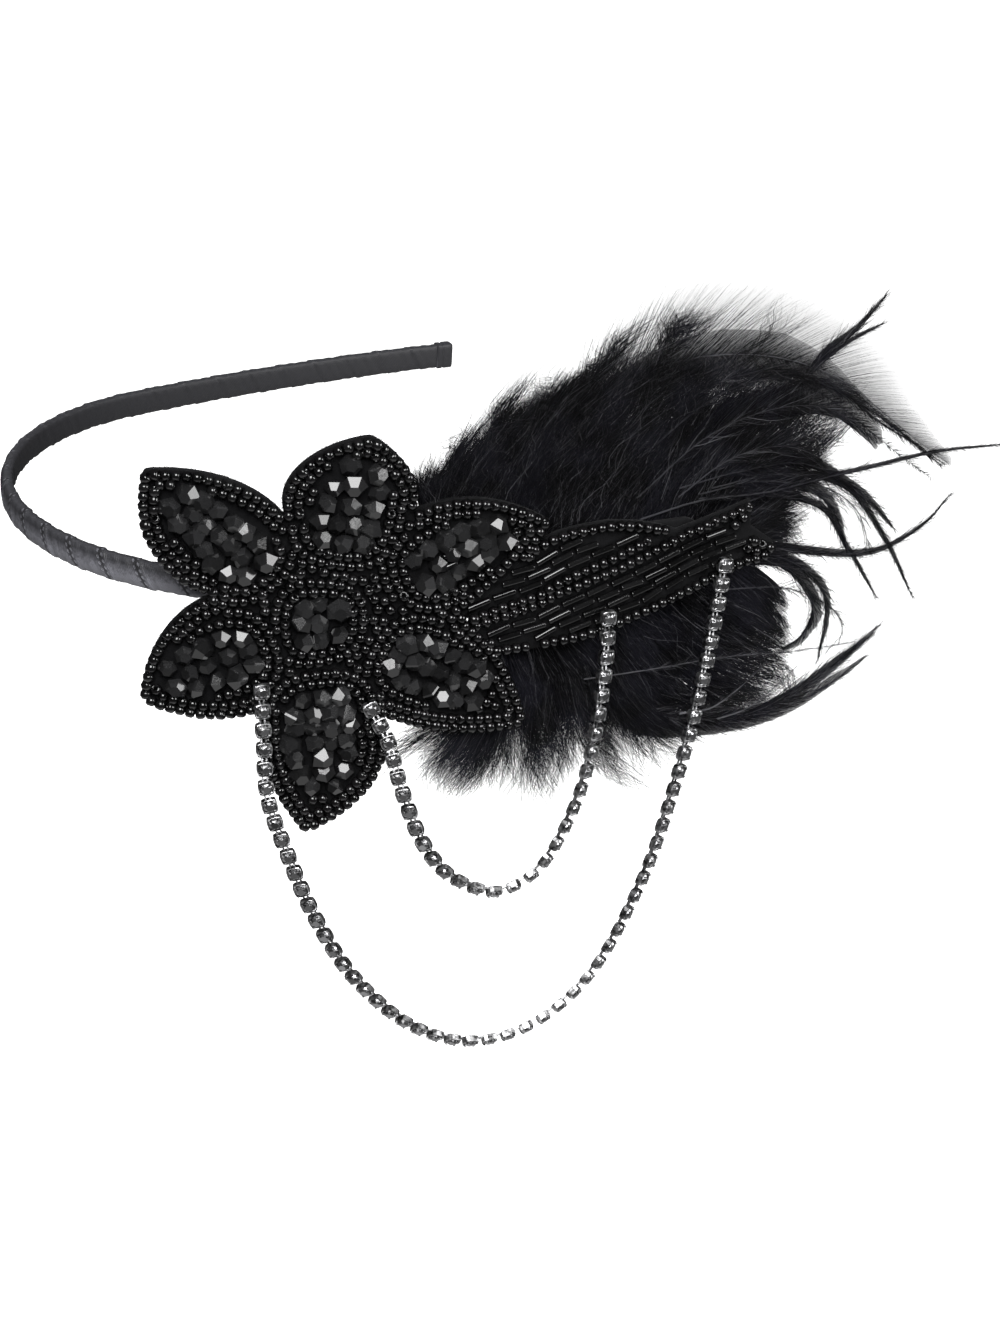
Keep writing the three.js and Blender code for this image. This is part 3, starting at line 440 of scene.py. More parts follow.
class Finish:
    """A material under construction, with one Principled shader."""

    def __init__(self, name, **constants):
        self.material = bpy.data.materials.new(name)
        self.material.use_nodes = True
        self.nodes = self.material.node_tree.nodes
        self.links = self.material.node_tree.links
        self.shader = next(n for n in self.nodes if n.type == "BSDF_PRINCIPLED")
        for socket, value in constants.items():
            self.shader.inputs[socket.replace("_", " ")].default_value = value

    def node(self, kind, settings=None, inputs=None):
        """Adds a node. Its settings come first, then the values or links of its sockets."""
        node = self.nodes.new(kind)
        for key, value in (settings or {}).items():
            setattr(node, key, value)
        for key, value in (inputs or {}).items():
            self.set(node.inputs[key], value)
        return {output.name: Value(self, output) for output in node.outputs if output.enabled}

    def set(self, socket, value):
        """A link where the value varies, else a plain value."""
        if isinstance(value, Value):
            self.links.new(value.socket, socket)
        else:
            socket.default_value = value

    def paint(self, **inputs):
        """Feeds the shader's sockets."""
        for name, value in inputs.items():
            self.set(self.shader.inputs[name.replace("_", " ")], value)
        return self.material

    def uv(self):
        """The piece's own surface coordinates."""
        return self.node("ShaderNodeUVMap", {"uv_map": "Surface"})["UV"]

    def place(self):
        """Object coordinates."""
        return self.node("ShaderNodeTexCoord")["Object"]

    def table(self, value, low, high, to_low=0.0, to_high=1.0):
        """A value carried in a straight line from one range to another, and held at its ends."""
        return self.node("ShaderNodeMapRange", None, {
            "Value": value, "From Min": low, "From Max": high, "To Min": to_low,
            "To Max": to_high})["Result"]

    def parts(self, vector):
        """The three numbers of a vector, by name."""
        return self.node("ShaderNodeSeparateXYZ", None, {"Vector": vector})

    def shade(self):
        """The value kept at each point: by chance for strands, beads and stones, how open a web
        is, or how far a place on the ribbon faces out."""
        return self.node("ShaderNodeAttribute", {"attribute_name": "shade"})["Fac"]

    def noise(self, vector, scale, detail=2.0):
        """Soft noise from 0 to 1."""
        return self.node("ShaderNodeTexNoise", None, {
            "Vector": vector, "Scale": scale, "Detail": detail})["Fac"]

    def mix(self, share, first, second):
        """A colour between two."""
        return self.node("ShaderNodeMix", {"data_type": "RGBA"}, {
            0: share, 6: (*first, 1), 7: (*second, 1)})["Result"]

    def bump(self, height, distance, strength=1.0):
        """A normal from a height."""
        return self.node("ShaderNodeBump", None, {
            "Height": height, "Distance": distance, "Strength": strength})["Normal"]


def ribbon_finish(colours):
    """Black satin with fine ribs across it. Its colour is painted lighter toward its lower edge, a
    painted reflection of the bright floor below. Two rows of small woven dots follow the edge of
    each turn of ribbon, on the outside, on a darker line."""
    finish = Finish("satin_ribbon", Specular_IOR_Level=0.45)
    parts = finish.parts(finish.uv())
    turns, round_way = parts["X"], parts["Y"]
    # low is a painted reflection. It rises from nothing on the band's upper part to 1 near its lower
    # edge, which makes the colour lighter there.
    low = finish.table(finish.parts(finish.place())["Z"], 0.0018, -0.0012)
    share = turns.math("FRACT")
    ribs = (turns * 130.0).math("SINE")
    grain = finish.noise(finish.place(), 1400.0)
    cloud = finish.noise(finish.place(), 260.0)
    woven = 0.0
    for at, shift in ((0.76, 0.0), (0.89, 0.5)):
        beside = share - at
        along = ((round_way * 8.0 + shift).math("FRACT") - 0.5) * 0.125
        dot = (0.0017 - beside * beside - along * along) * 1400.0
        dot.socket.node.use_clamp = True
        woven = dot + woven
    outside = finish.shade()
    woven = woven * outside
    gap = (share - 0.83).math("ABSOLUTE") * 6.0
    gap.socket.node.use_clamp = True
    line = outside * (1.0 - gap)
    # The painted reflection, low, makes both the satin and the woven dots lighter toward the lower
    # edge.
    satin = 0.06 + outside * (low * 0.95 + 0.06) * (cloud * 0.4 + grain * 1.9)
    tone = satin * (1.0 - line * 0.85) + woven * (0.4 + low * 0.6)
    colour = finish.mix(tone, [c * 0.45 for c in colours.ribbon], [c * 9.0 for c in colours.ribbon])
    height = ribs * 0.2 + grain * 0.8 + woven * 1.6
    return finish.paint(Base_Color=colour, Roughness=0.46 + grain * 0.14 + line * 0.2 - woven * 0.2,
                        Normal=finish.bump(height, 0.0001, 0.8))


def felt_finish(colours):
    """Matt black felt with matted fibres."""
    finish = Finish("black_felt", Specular_IOR_Level=0.1, Sheen_Weight=0.03)
    coarse = finish.noise(finish.place(), 700.0, 4.0)
    fine = finish.noise(finish.place(), 2600.0, 3.0)
    colour = finish.mix(coarse * 0.6 + fine * 0.4, [c * 0.4 for c in colours.felt],
                        [c * 2.0 for c in colours.felt])
    return finish.paint(Base_Color=colour, Roughness=0.85 + fine * 0.12,
                        Normal=finish.bump(coarse + fine * 0.6, 0.0002, 0.9))


def glass_finish(name, colour, gloss, facets=0.0):
    """Opaque black glass. Each bead has its own depth of colour and polish. Where facets is given, as
    for the cut stones, the lighter end is raised, so that facets with high chance values are painted
    up to mid grey: painted reflections of facets that catch the light.
    """
    finish = Finish(name, IOR=1.55)
    shade = finish.shade()
    cloud = finish.noise(finish.place(), 1500.0)
    tone = finish.mix(shade * 0.7 + cloud * 0.3, [c * 0.3 for c in colour],
                      [c * (1.6 + facets) for c in colour])
    return finish.paint(Base_Color=tone, Roughness=gloss + shade * 0.06 + cloud * 0.03,
                        Normal=finish.bump(cloud, 0.00002, 0.4))


def metal_finish(colours):
    """Bright silver plate with fine drawn marks and darker, duller patches where a noise is low."""
    finish = Finish("silver_plate", Metallic=1.0)
    cloud = finish.noise(finish.place(), 900.0, 3.0)
    marks = finish.noise(finish.place(), 4200.0)
    patch = finish.table(cloud, 0.38, 0.6)
    colour = finish.mix(patch, [c * 0.25 for c in colours.metal], list(colours.metal))
    return finish.paint(Base_Color=colour, Roughness=0.24 + patch * 0.12 + marks * 0.06,
                        Normal=finish.bump(marks, 0.00003, 0.4))


def smoke_finish(colours):
    """Smoky grey cut glass. Each facet is painted a chance tone from dark to light grey, a painted
    reflection of the light that each facet catches.
    """
    finish = Finish("smoky_stone", IOR=1.6, Metallic=0.9, Coat_Weight=0.2, Coat_Roughness=0.2)
    shade = finish.shade()
    tone = finish.mix(shade, [c * 0.15 for c in colours.smoke], list(colours.smoke))
    cloud = finish.noise(finish.place(), 1200.0)
    return finish.paint(Base_Color=tone, Roughness=0.2 + cloud * 0.1)


def feather_finish(name, colours, gain):
    """Black feather: soft strands, bluish in soft patches, with a few painted pale, painted highlights
    of strands that catch the light.
    """
    finish = Finish(name, Specular_IOR_Level=0.06)
    shade = finish.shade()
    cloud = finish.noise(finish.place(), 90.0)
    fleck = finish.noise(finish.place(), 500.0)
    patch = finish.table(cloud, 0.42, 0.62)
    base = finish.mix(patch, [c * gain for c in colours.feather],
                      [c * gain for c in colours.feather_tint])
    # Strands and shafts with high chance values are painted toward the pale colour: painted highlights.
    light = finish.table(shade, 0.8, 1.0)
    colour = finish.node("ShaderNodeMix", {"data_type": "RGBA"}, {
        0: light * light * 0.45 + fleck * 0.03, 6: base, 7: (*colours.painted_feather_glint, 1)})["Result"]
    return finish.paint(Base_Color=colour, Roughness=0.5 + fleck * 0.25)


def web_finish(colours):
    """A feather's web: strands packed side by side, that thin out toward its edge. A noise drawn
    out along the strands is cut at a height that rises from the shaft to the edge. A sheer web
    keeps its edge and lets light through all over."""
    finish = Finish("feather_web", Specular_IOR_Level=0.05)
    parts = finish.parts(finish.uv())
    edge, along = parts["X"], parts["Y"]
    spread = finish.node("ShaderNodeCombineXYZ", None, {
        "X": along * 3.6, "Y": edge * 1.2, "Z": 0.0})["Vector"]
    strand = finish.noise(spread, 1.0)
    height = finish.table(edge, 0.45, 1.0, 0.06, 0.6)
    sheer = finish.shade()
    cover = (strand - height * (1.0 - sheer)) * 11.0 + 0.6
    cover.socket.node.use_clamp = True
    cover = cover * (1.0 - sheer * (0.5 + 0.65 * edge))
    colour = finish.mix(strand, [c * 0.5 for c in colours.feather], list(colours.feather_tint))
    return finish.paint(Base_Color=colour, Roughness=0.6 + strand * 0.2, Alpha=cover)


def floor_finish(colours):
    """A plain pale floor with the faintest mottle, lit evenly from below as a light table is."""
    finish = Finish("pale_floor", Emission_Strength=0.95)
    cloud = finish.noise(finish.place(), 3.0)
    colour = finish.mix(cloud, [c * 0.99 for c in colours.floor], list(colours.floor))
    return finish.paint(Base_Color=colour, Emission_Color=colour, Roughness=0.9)


# Band and felt

def wrapped_band(pitch, lap):
    """The band under its wound ribbon. The skin is a rounded box carried along the centre line.
    Each turn of ribbon rises by the lap, lap * (0.35 + 0.65 share ** 2), drops at its edge and
    ripples a little, and the edges slant as a helix does. The outer face is crowned."""
    steps, sides, gap = 1151, 48, 0.3
    end = CROWN_LENGTH + ARM_LENGTH - FOLD_LENGTH - gap
    along = np.linspace(-end, end, steps)[:, None]
    turn = around(sides, -math.pi / 2)[None, :]
    out, up = squared(np.cos(turn), 0.45), squared(np.sin(turn), 0.45)
    loop = np.concatenate([out * BAND_THICKNESS / 2, up * BAND_WIDTH / 2]).T
    way = np.cumsum(np.linalg.norm(loop - np.roll(loop, 1, axis=0), axis=1))[None, :]
    way = way - way[0, 0]
    phase = along / pitch + way / (2 * (BAND_WIDTH + BAND_THICKNESS))
    share = phase - np.floor(phase)
    rise = lap * (0.35 + 0.65 * share ** 2) * np.minimum(1, (1 - share) / 0.035)
    rise = rise + 0.07 * np.sin(19 * phase) * np.sin(2.3 * phase + turn)
    crown = 0.5 * (1 - up ** 2) * (out > 0)
    half_out = BAND_THICKNESS / 2 + rise + crown
    half_up = BAND_WIDTH / 2 + rise
    points = band_point(along, half_out * out, half_up * up).reshape(-1, 3)
    uv = np.stack(np.broadcast_arrays(phase, way / pitch), -1)
    outside = np.broadcast_to(np.clip(out * 2 + 0.5, 0, 1), share.shape)
    return points, [grid(steps, sides, close_cols=True)], uv.reshape(-1, 2), outside.ravel()


def ribbon_fold(side):
    """The ribbon folded over one end of the band: a rounded box whose end closes to a line,
    with a sunk seam a third of the way along."""
    steps, sides = 25, 40
    share = np.linspace(0, 1, steps)[:, None]
    turn = around(sides)[None, :]
    out, up = squared(np.cos(turn), 0.3), squared(np.sin(turn), 0.3)
    near_end = np.clip((share - 0.75) / 0.25, 0, 1)
    end_round = np.sqrt(np.maximum(1 - near_end ** 3, 0))
    seam = 0.22 * np.exp(-((share - 0.3) / 0.05) ** 2)
    half_out = (1.6 - seam) * np.maximum(end_round, 0.05)
    half_up = (3.15 - seam) * (0.72 + 0.28 * end_round)
    start = CROWN_LENGTH + ARM_LENGTH - FOLD_LENGTH
    points = band_point(side * (start + share * FOLD_LENGTH), half_out * out, half_up * up)
    uv = np.stack(np.broadcast_arrays(0.1 * share + 0 * turn, turn / 4), -1)
    shade = np.broadcast_to(np.clip(out * 2 + 0.5, 0, 1), uv.shape[:2])
    faces = grid(steps, sides, close_cols=True)
    first = np.arange(sides)[::-1][None]
    last = ((steps - 1) * sides + np.arange(sides))[None]
    if side < 0:
        faces, first, last = faces[:, ::-1], first[:, ::-1], last[:, ::-1]
    return points.reshape(-1, 3), [faces, first, last], uv.reshape(-1, 2), shade.ravel()


def flower_outline(inset=0.0, steps=36):
    """The flower's edge. From a notch to a tip, reach = notch + (tip - notch) climb ** power."""
    places = []
    for petal, following in zip(PETALS, PETALS[1:] + PETALS[:1]):
        after = following.clef + (360 if following.clef < petal.tip else 0)
        climb = (np.arange(steps) / steps) ** 2
        places.append(np.stack([
            petal.clef + (petal.tip - petal.clef) * climb,
            petal.clef_reach + (petal.reach - petal.clef_reach) * climb ** petal.rise]))
        drop = 1 - (1 - np.arange(steps) / steps) ** 2
        places.append(np.stack([
            petal.tip + (after - petal.tip) * drop,
            following.clef_reach
            + (petal.reach - following.clef_reach) * (1 - drop) ** petal.fall]))
    angle, reach = np.hstack(places)
    angle = np.radians(angle)
    length = FLOWER_REACH * reach - inset
    line = FLOWER_CENTRE + length[:, None] * heading_of(angle)
    even = along_line(np.vstack([line, line[:1]]), np.arange(480) / 480)
    return sum(np.roll(even, k, axis=0) for k in (-1, 0, 1)) / 3


def felt_profile():
    """Inset from the edge and level, from the back's middle round the edge to the front."""
    turn = np.linspace(-math.pi / 2, math.pi / 2, 9)
    half = (FELT_FRONT - FELT_BACK) / 2
    inset = 0.55 * (1 - np.cos(turn) ** 0.6)
    level = FELT_BACK + half + half * squared(np.sin(turn), 0.8)
    return inset, level


def felt_flower():
    """The flower's felt: rings from the centre out on the back, round the edge, and back in."""
    edge = flower_outline()
    inset, level = felt_profile()
    ray = unit(edge - FLOWER_CENTRE)
    rim = edge[None] - inset[:, None, None] * ray[None]
    inner = np.linspace(0.001, 0.9, 9)[:, None, None]
    back = FLOWER_CENTRE + inner * (rim[:1] - FLOWER_CENTRE)
    front = FLOWER_CENTRE + inner[::-1] * (rim[-1:] - FLOWER_CENTRE)
    rings = np.concatenate([back, rim, front])
    levels = np.concatenate([np.full(9, level[0]), level, np.full(9, level[-1])])
    points = sheet_point(rings[..., 0], rings[..., 1], levels[:, None])
    return points.reshape(-1, 3), [grid(len(rings), len(edge), close_cols=True)[:, ::-1]]


def felt_strip(top, bottom, back, front, steps=200):
    """A flat strip with rounded edges between a top and a bottom line, closed at its ends."""
    top, bottom = np.array(top, float), np.array(bottom, float)
    across = np.linspace(top[0, 0], top[-1, 0], steps)
    high = np.interp(across, top[:, 0], top[:, 1])
    low = np.interp(across, bottom[:, 0], bottom[:, 1])
    sides, power = 32, 0.22
    turn = around(sides)
    closing = np.minimum(1, np.sqrt(np.minimum(np.arange(steps), np.arange(steps)[::-1]) / 2 + 0.01))
    half = (high - low)[:, None] / 2 * (0.6 + 0.4 * closing[:, None])
    thick = (front - back) / 2 * closing[:, None]
    up = (high + low)[:, None] / 2 + half * squared(np.cos(turn), power)
    out = (front + back) / 2 + thick * squared(np.sin(turn), power)
    points = sheet_point(across[:, None] + 0 * up, up, out)
    ends = [np.arange(sides)[::-1][None], ((steps - 1) * sides + np.arange(sides))[None]]
    return points.reshape(-1, 3), [grid(steps, sides, close_cols=True)] + ends


def fuzz(rng, edge, outward, count, level):
    """Fibres at a felt edge: thin bent slivers that leave the edge at chance angles."""
    at = rng.random(count)
    root = along_line(edge, at)
    way = np.stack([np.interp(at, np.linspace(0, 1, len(edge)), part) for part in outward.T], -1)
    lean = rng.normal(0, 0.8, count)
    cosine, sine = np.cos(lean), np.sin(lean)
    way = np.stack([way[:, 0] * cosine - way[:, 1] * sine,
                    way[:, 0] * sine + way[:, 1] * cosine], -1)
    reach = rng.uniform(0.3, 0.95, count)[:, None]
    share = np.array([0.0, 0.55, 1.0])
    bend = rng.normal(0, 0.25, (count, 1))
    side = np.stack([-way[:, 1], way[:, 0]], -1)
    centre = (root[:, None] - 0.25 * way[:, None] + (reach * share)[..., None] * way[:, None]
              + (bend * share ** 2)[..., None] * side[:, None])
    width = 0.045 * (1 - 0.8 * share)[None, :, None] * side[:, None]
    level = level + rng.uniform(-0.6, 0.6, (count, 1)) + 0 * share
    points = np.stack([
        np.concatenate([centre - width, level[..., None]], -1),
        np.concatenate([centre + width, level[..., None]], -1)], 2)
    return on_sheet(points).reshape(-1, 3), strips(count, 3)


def strips(count, steps):
    """The quads of many ribbons, each with steps pairs of points."""
    return [repeated(grid(steps, 2), count, 2 * steps)]


# Beads

def inside(points, outline):
    """True where a point is inside an outline, by counting the edges to its right."""
    x, y = points[:, :1], points[:, 1:]
    x1, y1 = outline.T
    x2, y2 = np.roll(outline, -1, axis=0).T
    crosses = (y1 > y) != (y2 > y)
    rise = np.where(y2 == y1, 1e-9, y2 - y1)
    return (crosses & (x < (x2 - x1) * (y - y1) / rise + x1)).sum(1) % 2 == 1


def nearest(points, others):
    """The distance from each point to the nearest of the others."""
    return np.sqrt(((points[:, None] - others[None]) ** 2).sum(-1)).min(1)


def row_of(line, pitch, closed=False):
    """Spots at equal steps along a line, each with the line's heading."""
    line = np.vstack([line, line[:1]]) if closed else np.asarray(line, float)
    count = max(2, int(round(line_length(line) / pitch)))
    at = np.arange(count) / (count if closed else count - 1)
    spots = along_line(line, at)
    ahead = ahead_on(line, at, 0.004)
    return np.column_stack([spots, np.arctan2(ahead[:, 1], ahead[:, 0])])


def offset_line(outline, by):
    """An outline moved inward, or outward where by is less than nothing. Where the moved line
    crosses itself, its points are left out."""
    step = np.roll(outline, -1, axis=0) - np.roll(outline, 1, axis=0)
    inward = unit(np.stack([-step[:, 1], step[:, 0]], -1))
    moved = outline + by * inward
    return moved[nearest(moved, outline) > abs(by) - 0.12]


def keep_clear(kept, row, gap):
    """Adds the spots of a row that lie clear of those that are kept."""
    if len(kept):
        row = row[nearest(row[:, :2], kept[:, :2]) > gap]
    return np.vstack([kept, row])


def petal_axes(petal):
    """The directions along and across a petal's oval of stones."""
    long = heading_of(math.radians(petal.angle))
    return long, np.array([-long[1], long[0]])


def field_spot(petal, along, across, grow):
    """A place in a petal's oval of stones, a little narrower toward the petal's tip."""
    long, wide = petal_axes(petal)
    half_length = FLOWER_REACH * petal.length / 2 + grow
    half_width = FLOWER_REACH * petal.width / 2 + grow
    along, across = squared(along, FIELD_FULLNESS), squared(across, FIELD_FULLNESS)
    reach = FLOWER_REACH * petal.place + half_length * along
    side = half_width * across * (1 - FIELD_TAPER * along)
    return FLOWER_CENTRE + reach[:, None] * long + side[:, None] * wide


def field_outline(petal, grow=0.0, count=60):
    """The edge of a petal's oval."""
    turn = around(count)
    return field_spot(petal, np.cos(turn), np.sin(turn), grow)


def flower_bead_spots(rng, size, taken):
    """The flower's seed beads: two rows inside its edge, rows round each oval and the centre,
    then rows that follow the edge inward, and last single beads in the gaps."""
    outline = flower_outline()
    fields = PETALS + [CENTRE_FIELD]
    pitch = 0.88 * size
    kept = np.zeros((0, 3))
    for by in (EDGE_INSET, EDGE_INSET + pitch):
        kept = keep_clear(kept, row_of(offset_line(outline, by), pitch, True), 0.78 * size)
    for grow in (0.5 * size, 1.4 * size):
        for petal in fields:
            ring = row_of(field_outline(petal, grow), pitch, True)
            kept = keep_clear(kept, ring, 0.8 * size)
    for k in range(2, 12):
        line = offset_line(outline, EDGE_INSET + 0.88 * size * k)
        if len(line) > 8:
            kept = keep_clear(kept, row_of(line, pitch, True), 0.82 * size)
    kept = filled(rng, kept, outline.min(0), outline.max(0), size)
    good = inside(kept[:, :2], outline) & (nearest(kept[:, :2], outline) > 0.75)
    good &= nearest(kept[:, :2], taken) > 0.75 * size
    for petal in fields:
        oval = field_outline(petal, 0.2)
        good &= ~inside(kept[:, :2], oval) & (nearest(kept[:, :2], oval) > 0.3 * size)
    return kept[good]


def filled(rng, kept, low, high, size):
    """Adds single spots to a box of the sheet wherever they lie clear of those that are kept."""
    for gap in (0.88, 0.76):
        for shift in rng.random((60, 2)):
            x = np.arange(low[0], high[0], 2 * size) + shift[0] * 2 * size
            y = np.arange(low[1], high[1], 2 * size) + shift[1] * 2 * size
            spots = np.stack(np.meshgrid(x, y), -1).reshape(-1, 2)
            row = np.column_stack([spots, rng.uniform(0, math.pi, len(spots))])
            kept = keep_clear(kept, row, gap * size)
    return kept


def leaf_bead_spots(rng, size, taken):
    """The leaf's seed beads: rows inside its edges and along its two ribs, rows beside the petal
    it leaves, and single beads in the corner that they close in."""
    flower = flower_outline()
    edge = np.vstack([LEAF_TOP, LEAF_BOTTOM[::-1]])
    pitch = 0.88 * size
    kept = np.zeros((0, 3))
    for line in (LEAF_TOP_BEADS, LEAF_LOW_BEADS, LEAF_TIP_BEADS, LEAF_RIB_LOWER, LEAF_RIB_UPPER,
                 LEAF_TIP_INNER):
        kept = keep_clear(kept, row_of(smooth_line(line), pitch), 0.74 * size)
    for by in (-0.2, -0.2 - 0.9 * size):
        kept = keep_clear(kept, row_of(offset_line(flower, by), pitch, True), 0.76 * size)
    kept = filled(rng, kept, np.array([24.0, -6.0]), np.array([46.0, 11.0]), size)
    good = inside(kept[:, :2], edge) & (nearest(kept[:, :2], edge) > 0.5)
    good &= ~inside(kept[:, :2], flower_outline(0.9)) & (nearest(kept[:, :2], taken) > 0.72 * size)
    return kept[good]


def beads(rng, spots, profile, sides, yaw, tilt, uneven=0.0):
    """Beads on the sheet: a closed profile spun round each spot's heading, turned, tipped, lifted
    and, where uneven, sized a little by chance."""
    template = spun(profile, sides).reshape(-1, 3)
    count = len(spots)
    heading = spots[:, 2] + rng.normal(0, yaw, count)
    frames = turned(sheet_axes(spots[:, 0]), heading, rng.normal(0, tilt, count))
    if uneven:
        frames = frames * rng.normal(1.0, uneven, (count, 1, 1))
    places = sheet_point(spots[:, 0], spots[:, 1], BEAD_LEVEL + rng.normal(0, 0.12, count))
    points, faces = copies(template, [grid(len(profile), sides, True, True)], frames, places)
    return points, faces, np.repeat(rng.random(count), len(template))


def seed_bead_profile(size):
    """A barrel with a hole through it."""
    return size / 2 * np.array([(-0.62, 0.38), (-0.8, 0.68), (-0.42, 1.0), (0.42, 1.0),
                                (0.8, 0.68), (0.62, 0.38)])


def bugle_profile(length, width):
    """A plain tube with softened ends and a hole through it."""
    half, radius = length / 2, width / 2
    return np.array([(-half, 0.4 * radius), (-half, 0.85 * radius), (-half + 0.1, radius),
                     (-half + 0.25, radius), (half - 0.25, radius), (half - 0.1, radius),
                     (half, 0.85 * radius), (half, 0.4 * radius)])


def turned(axes, heading, tilt):
    """Frames whose x axis lies at a heading on the sheet and is tipped out of it by tilt."""
    wide, up, front = axes[:, 0], axes[:, 1], axes[:, 2]
    cosine, sine = np.cos(heading)[:, None], np.sin(heading)[:, None]
    x, y = cosine * wide + sine * up, cosine * up - sine * wide
    cosine, sine = np.cos(tilt)[:, None], np.sin(tilt)[:, None]
    return np.stack([cosine * x + sine * front, y, cosine * front - sine * x], 1)


def bugle_spots(length, spacing):
    """Bugle beads end to end in staggered rows along the leaf's ribs, in its upper and its lower
    blade. The rows of the upper blade run on between the two petals on the right."""
    ribs = smooth_line(LEAF_RIB_UPPER), smooth_line(LEAF_RIB_LOWER)
    top, low = smooth_line(LEAF_TOP_BEADS), smooth_line(LEAF_LOW_BEADS)[::-1]
    ovals = np.vstack([field_outline(PETALS[0]), field_outline(PETALS[5]), field_outline(CENTRE_FIELD)])
    flower = flower_outline()
    found = []
    for k in range(1, 8):
        for rib, side in zip(ribs, (1, -1)):
            line = rib + [-0.35 * k * side, side * (1.0 + spacing * (k - 0.2))]
            step = length + BUGLE_GAP
            first = (0.39 * k + (0.2 if side > 0 else 0)) % 1 * step
            count = int((line_length(line) - first) / step)
            at = (first + (np.arange(count) + 0.5) * step) / line_length(line)
            spots = along_line(line, at)
            ahead = ahead_on(line, at, 0.01)
            heading = np.arctan2(ahead[:, 1], ahead[:, 0])
            ends = spots[:, None] + (length / 2) * np.array(
                [-1, 0, 1])[None, :, None] * heading_of(heading)[:, None]
            ceiling = np.interp(ends[..., 0], top[:, 0], top[:, 1])
            bottom = np.interp(ends[..., 0], low[:, 0], low[:, 1])
            if side > 0:
                good = ((ends[..., 1] < ceiling - 1.5) | (ends[..., 0] < 40)).all(1)
                good &= (ends[..., 0] < 67.5).all(1)
            else:
                good = (ends[..., 1] > bottom + 1.5).all(1) & (ends[..., 0] < 90.5).all(1)
            flat = ends.reshape(-1, 2)
            clear = (nearest(flat, ovals) > 4.3) & ~(inside(flat, flower) & (flat[:, 1] < -9.5))
            in_petal = inside(flat, flower) & (nearest(flat, flower) > 1.5) & (flat[:, 0] > 26)
            clear &= ~in_petal
            found.append(np.column_stack([spots, heading])[good & clear.reshape(-1, 3).all(1)])
    return np.vstack(found)


def bugle_line(spots, length):
    """Places along each bugle bead, that other beads keep clear of."""
    places = np.linspace(-0.5, 0.5, 5)[None, :, None] * length
    return (spots[:, None, :2] + places * heading_of(spots[:, 2])[:, None]).reshape(-1, 2)


def stone_spots(rng, petal, pitch, margin):
    """The places of a petal's stones: rows across its oval in the manner of bricks, each row
    filled from side to side at about the pitch, moved a little by chance."""
    long, wide = petal_axes(petal)
    centre = field_spot(petal, np.zeros(1), np.zeros(1), 0)[0]
    edge = field_outline(petal)[:31] - centre
    at, half = edge @ long, np.abs(edge @ wide)
    travel = FLOWER_REACH * petal.length / 2 - margin
    rows = max(2, int(round(2 * travel / (0.88 * pitch))) + 1)
    spots = []
    for along in np.linspace(-travel, travel, rows):
        room = 2 * max(0.0, np.interp(along, at[::-1], half[::-1]) - margin)
        count = int(round(room / pitch)) + 1
        side = np.linspace(-room / 2, room / 2, count) if count > 1 else np.zeros(1)
        spots.append(centre + along * long + side[:, None] * wide)
    spots = np.vstack(spots)
    return spots + rng.normal(0, 0.3, spots.shape)


def ring(sides, radius, level, shift=0.0):
    """A ring of points at a level, its first point turned by a share of a step."""
    turn = (np.arange(sides) + shift) * 2 * math.pi / sides
    return np.stack([radius * np.cos(turn), radius * np.sin(turn), np.full(sides, level)], -1)


def cut_stone(sides=8):
    """One cut stone of radius 1: an eight-sided table, a crown of kites and triangles, a girdle
    and a pointed back. Returns points, triangles and the facet that each triangle belongs to."""
    points = np.vstack([ring(sides, 0.52, 0.62), ring(sides, 0.82, 0.4, 0.5),
                        ring(sides, 1.0, 0.08), [[0, 0, -0.75]]])
    t = np.arange(sides)
    u = (t + 1) % sides
    c, g, tip = t + sides, t + 2 * sides, np.full(sides, 3 * sides)
    triangles = [np.stack([0 * t[:-2], u[:-2], u[1:-1]], -1)]
    facets = [0 * t[:-2]]
    for k, corners in enumerate([(t, c, u), (u, c, u + sides), (c, g, u + 2 * sides),
                                 (c, u + 2 * sides, u + sides), (g, tip, u + 2 * sides)]):
        triangles.append(np.stack(corners, -1))
        facets.append(1 + k * sides + t)
    return points, np.vstack(triangles), np.concatenate(facets)


def cut_bead(sides=6):
    """One cut bead of radius 1: a flat table front and back, and a ring of broad facets that
    slope from each down to the girdle."""
    points = np.vstack([ring(sides, 0.5, 0.68), ring(sides, 1.0, 0.06), ring(sides, 0.95, -0.12),
                        ring(sides, 0.45, -0.7)])
    k = np.arange(sides)
    n = (k + 1) % sides
    fan = np.stack([k[:-2] * 0, n[:-2], n[1:-1]], -1)
    triangles, facets = [fan, fan[:, ::-1] + 3 * sides], [0 * k[:-2], 0 * k[:-2] + 1]
    for band in range(3):
        a, b = band * sides, (band + 1) * sides
        triangles += [np.stack([a + k, b + k, b + n], -1), np.stack([a + k, b + n, a + n], -1)]
        facets += [2 + band * sides + k] * 2
    return points, np.vstack(triangles), np.concatenate(facets)


def faceted(rng, stone, frames, places, spread):
    """Copies of a faceted stone with unshared corners and a chance shade for each facet. The stones'
    finishes turn these into facets painted lighter and darker, painted reflections of the light that
    each facet catches.
    """
    points, triangles, facets = stone
    all_points, all_faces = copies(points[triangles.ravel()],
                                   [np.arange(3 * len(triangles)).reshape(-1, 3)], frames, places)
    whole = rng.random((len(places), 1))
    each = rng.random((len(places), facets.max() + 1))[:, facets]
    return all_points, all_faces, np.repeat((1 - spread) * whole + spread * each, 3)


# Chains

SQUARE = np.array([(-1, -1), (1, -1), (1, 1), (-1, 1)])[None]


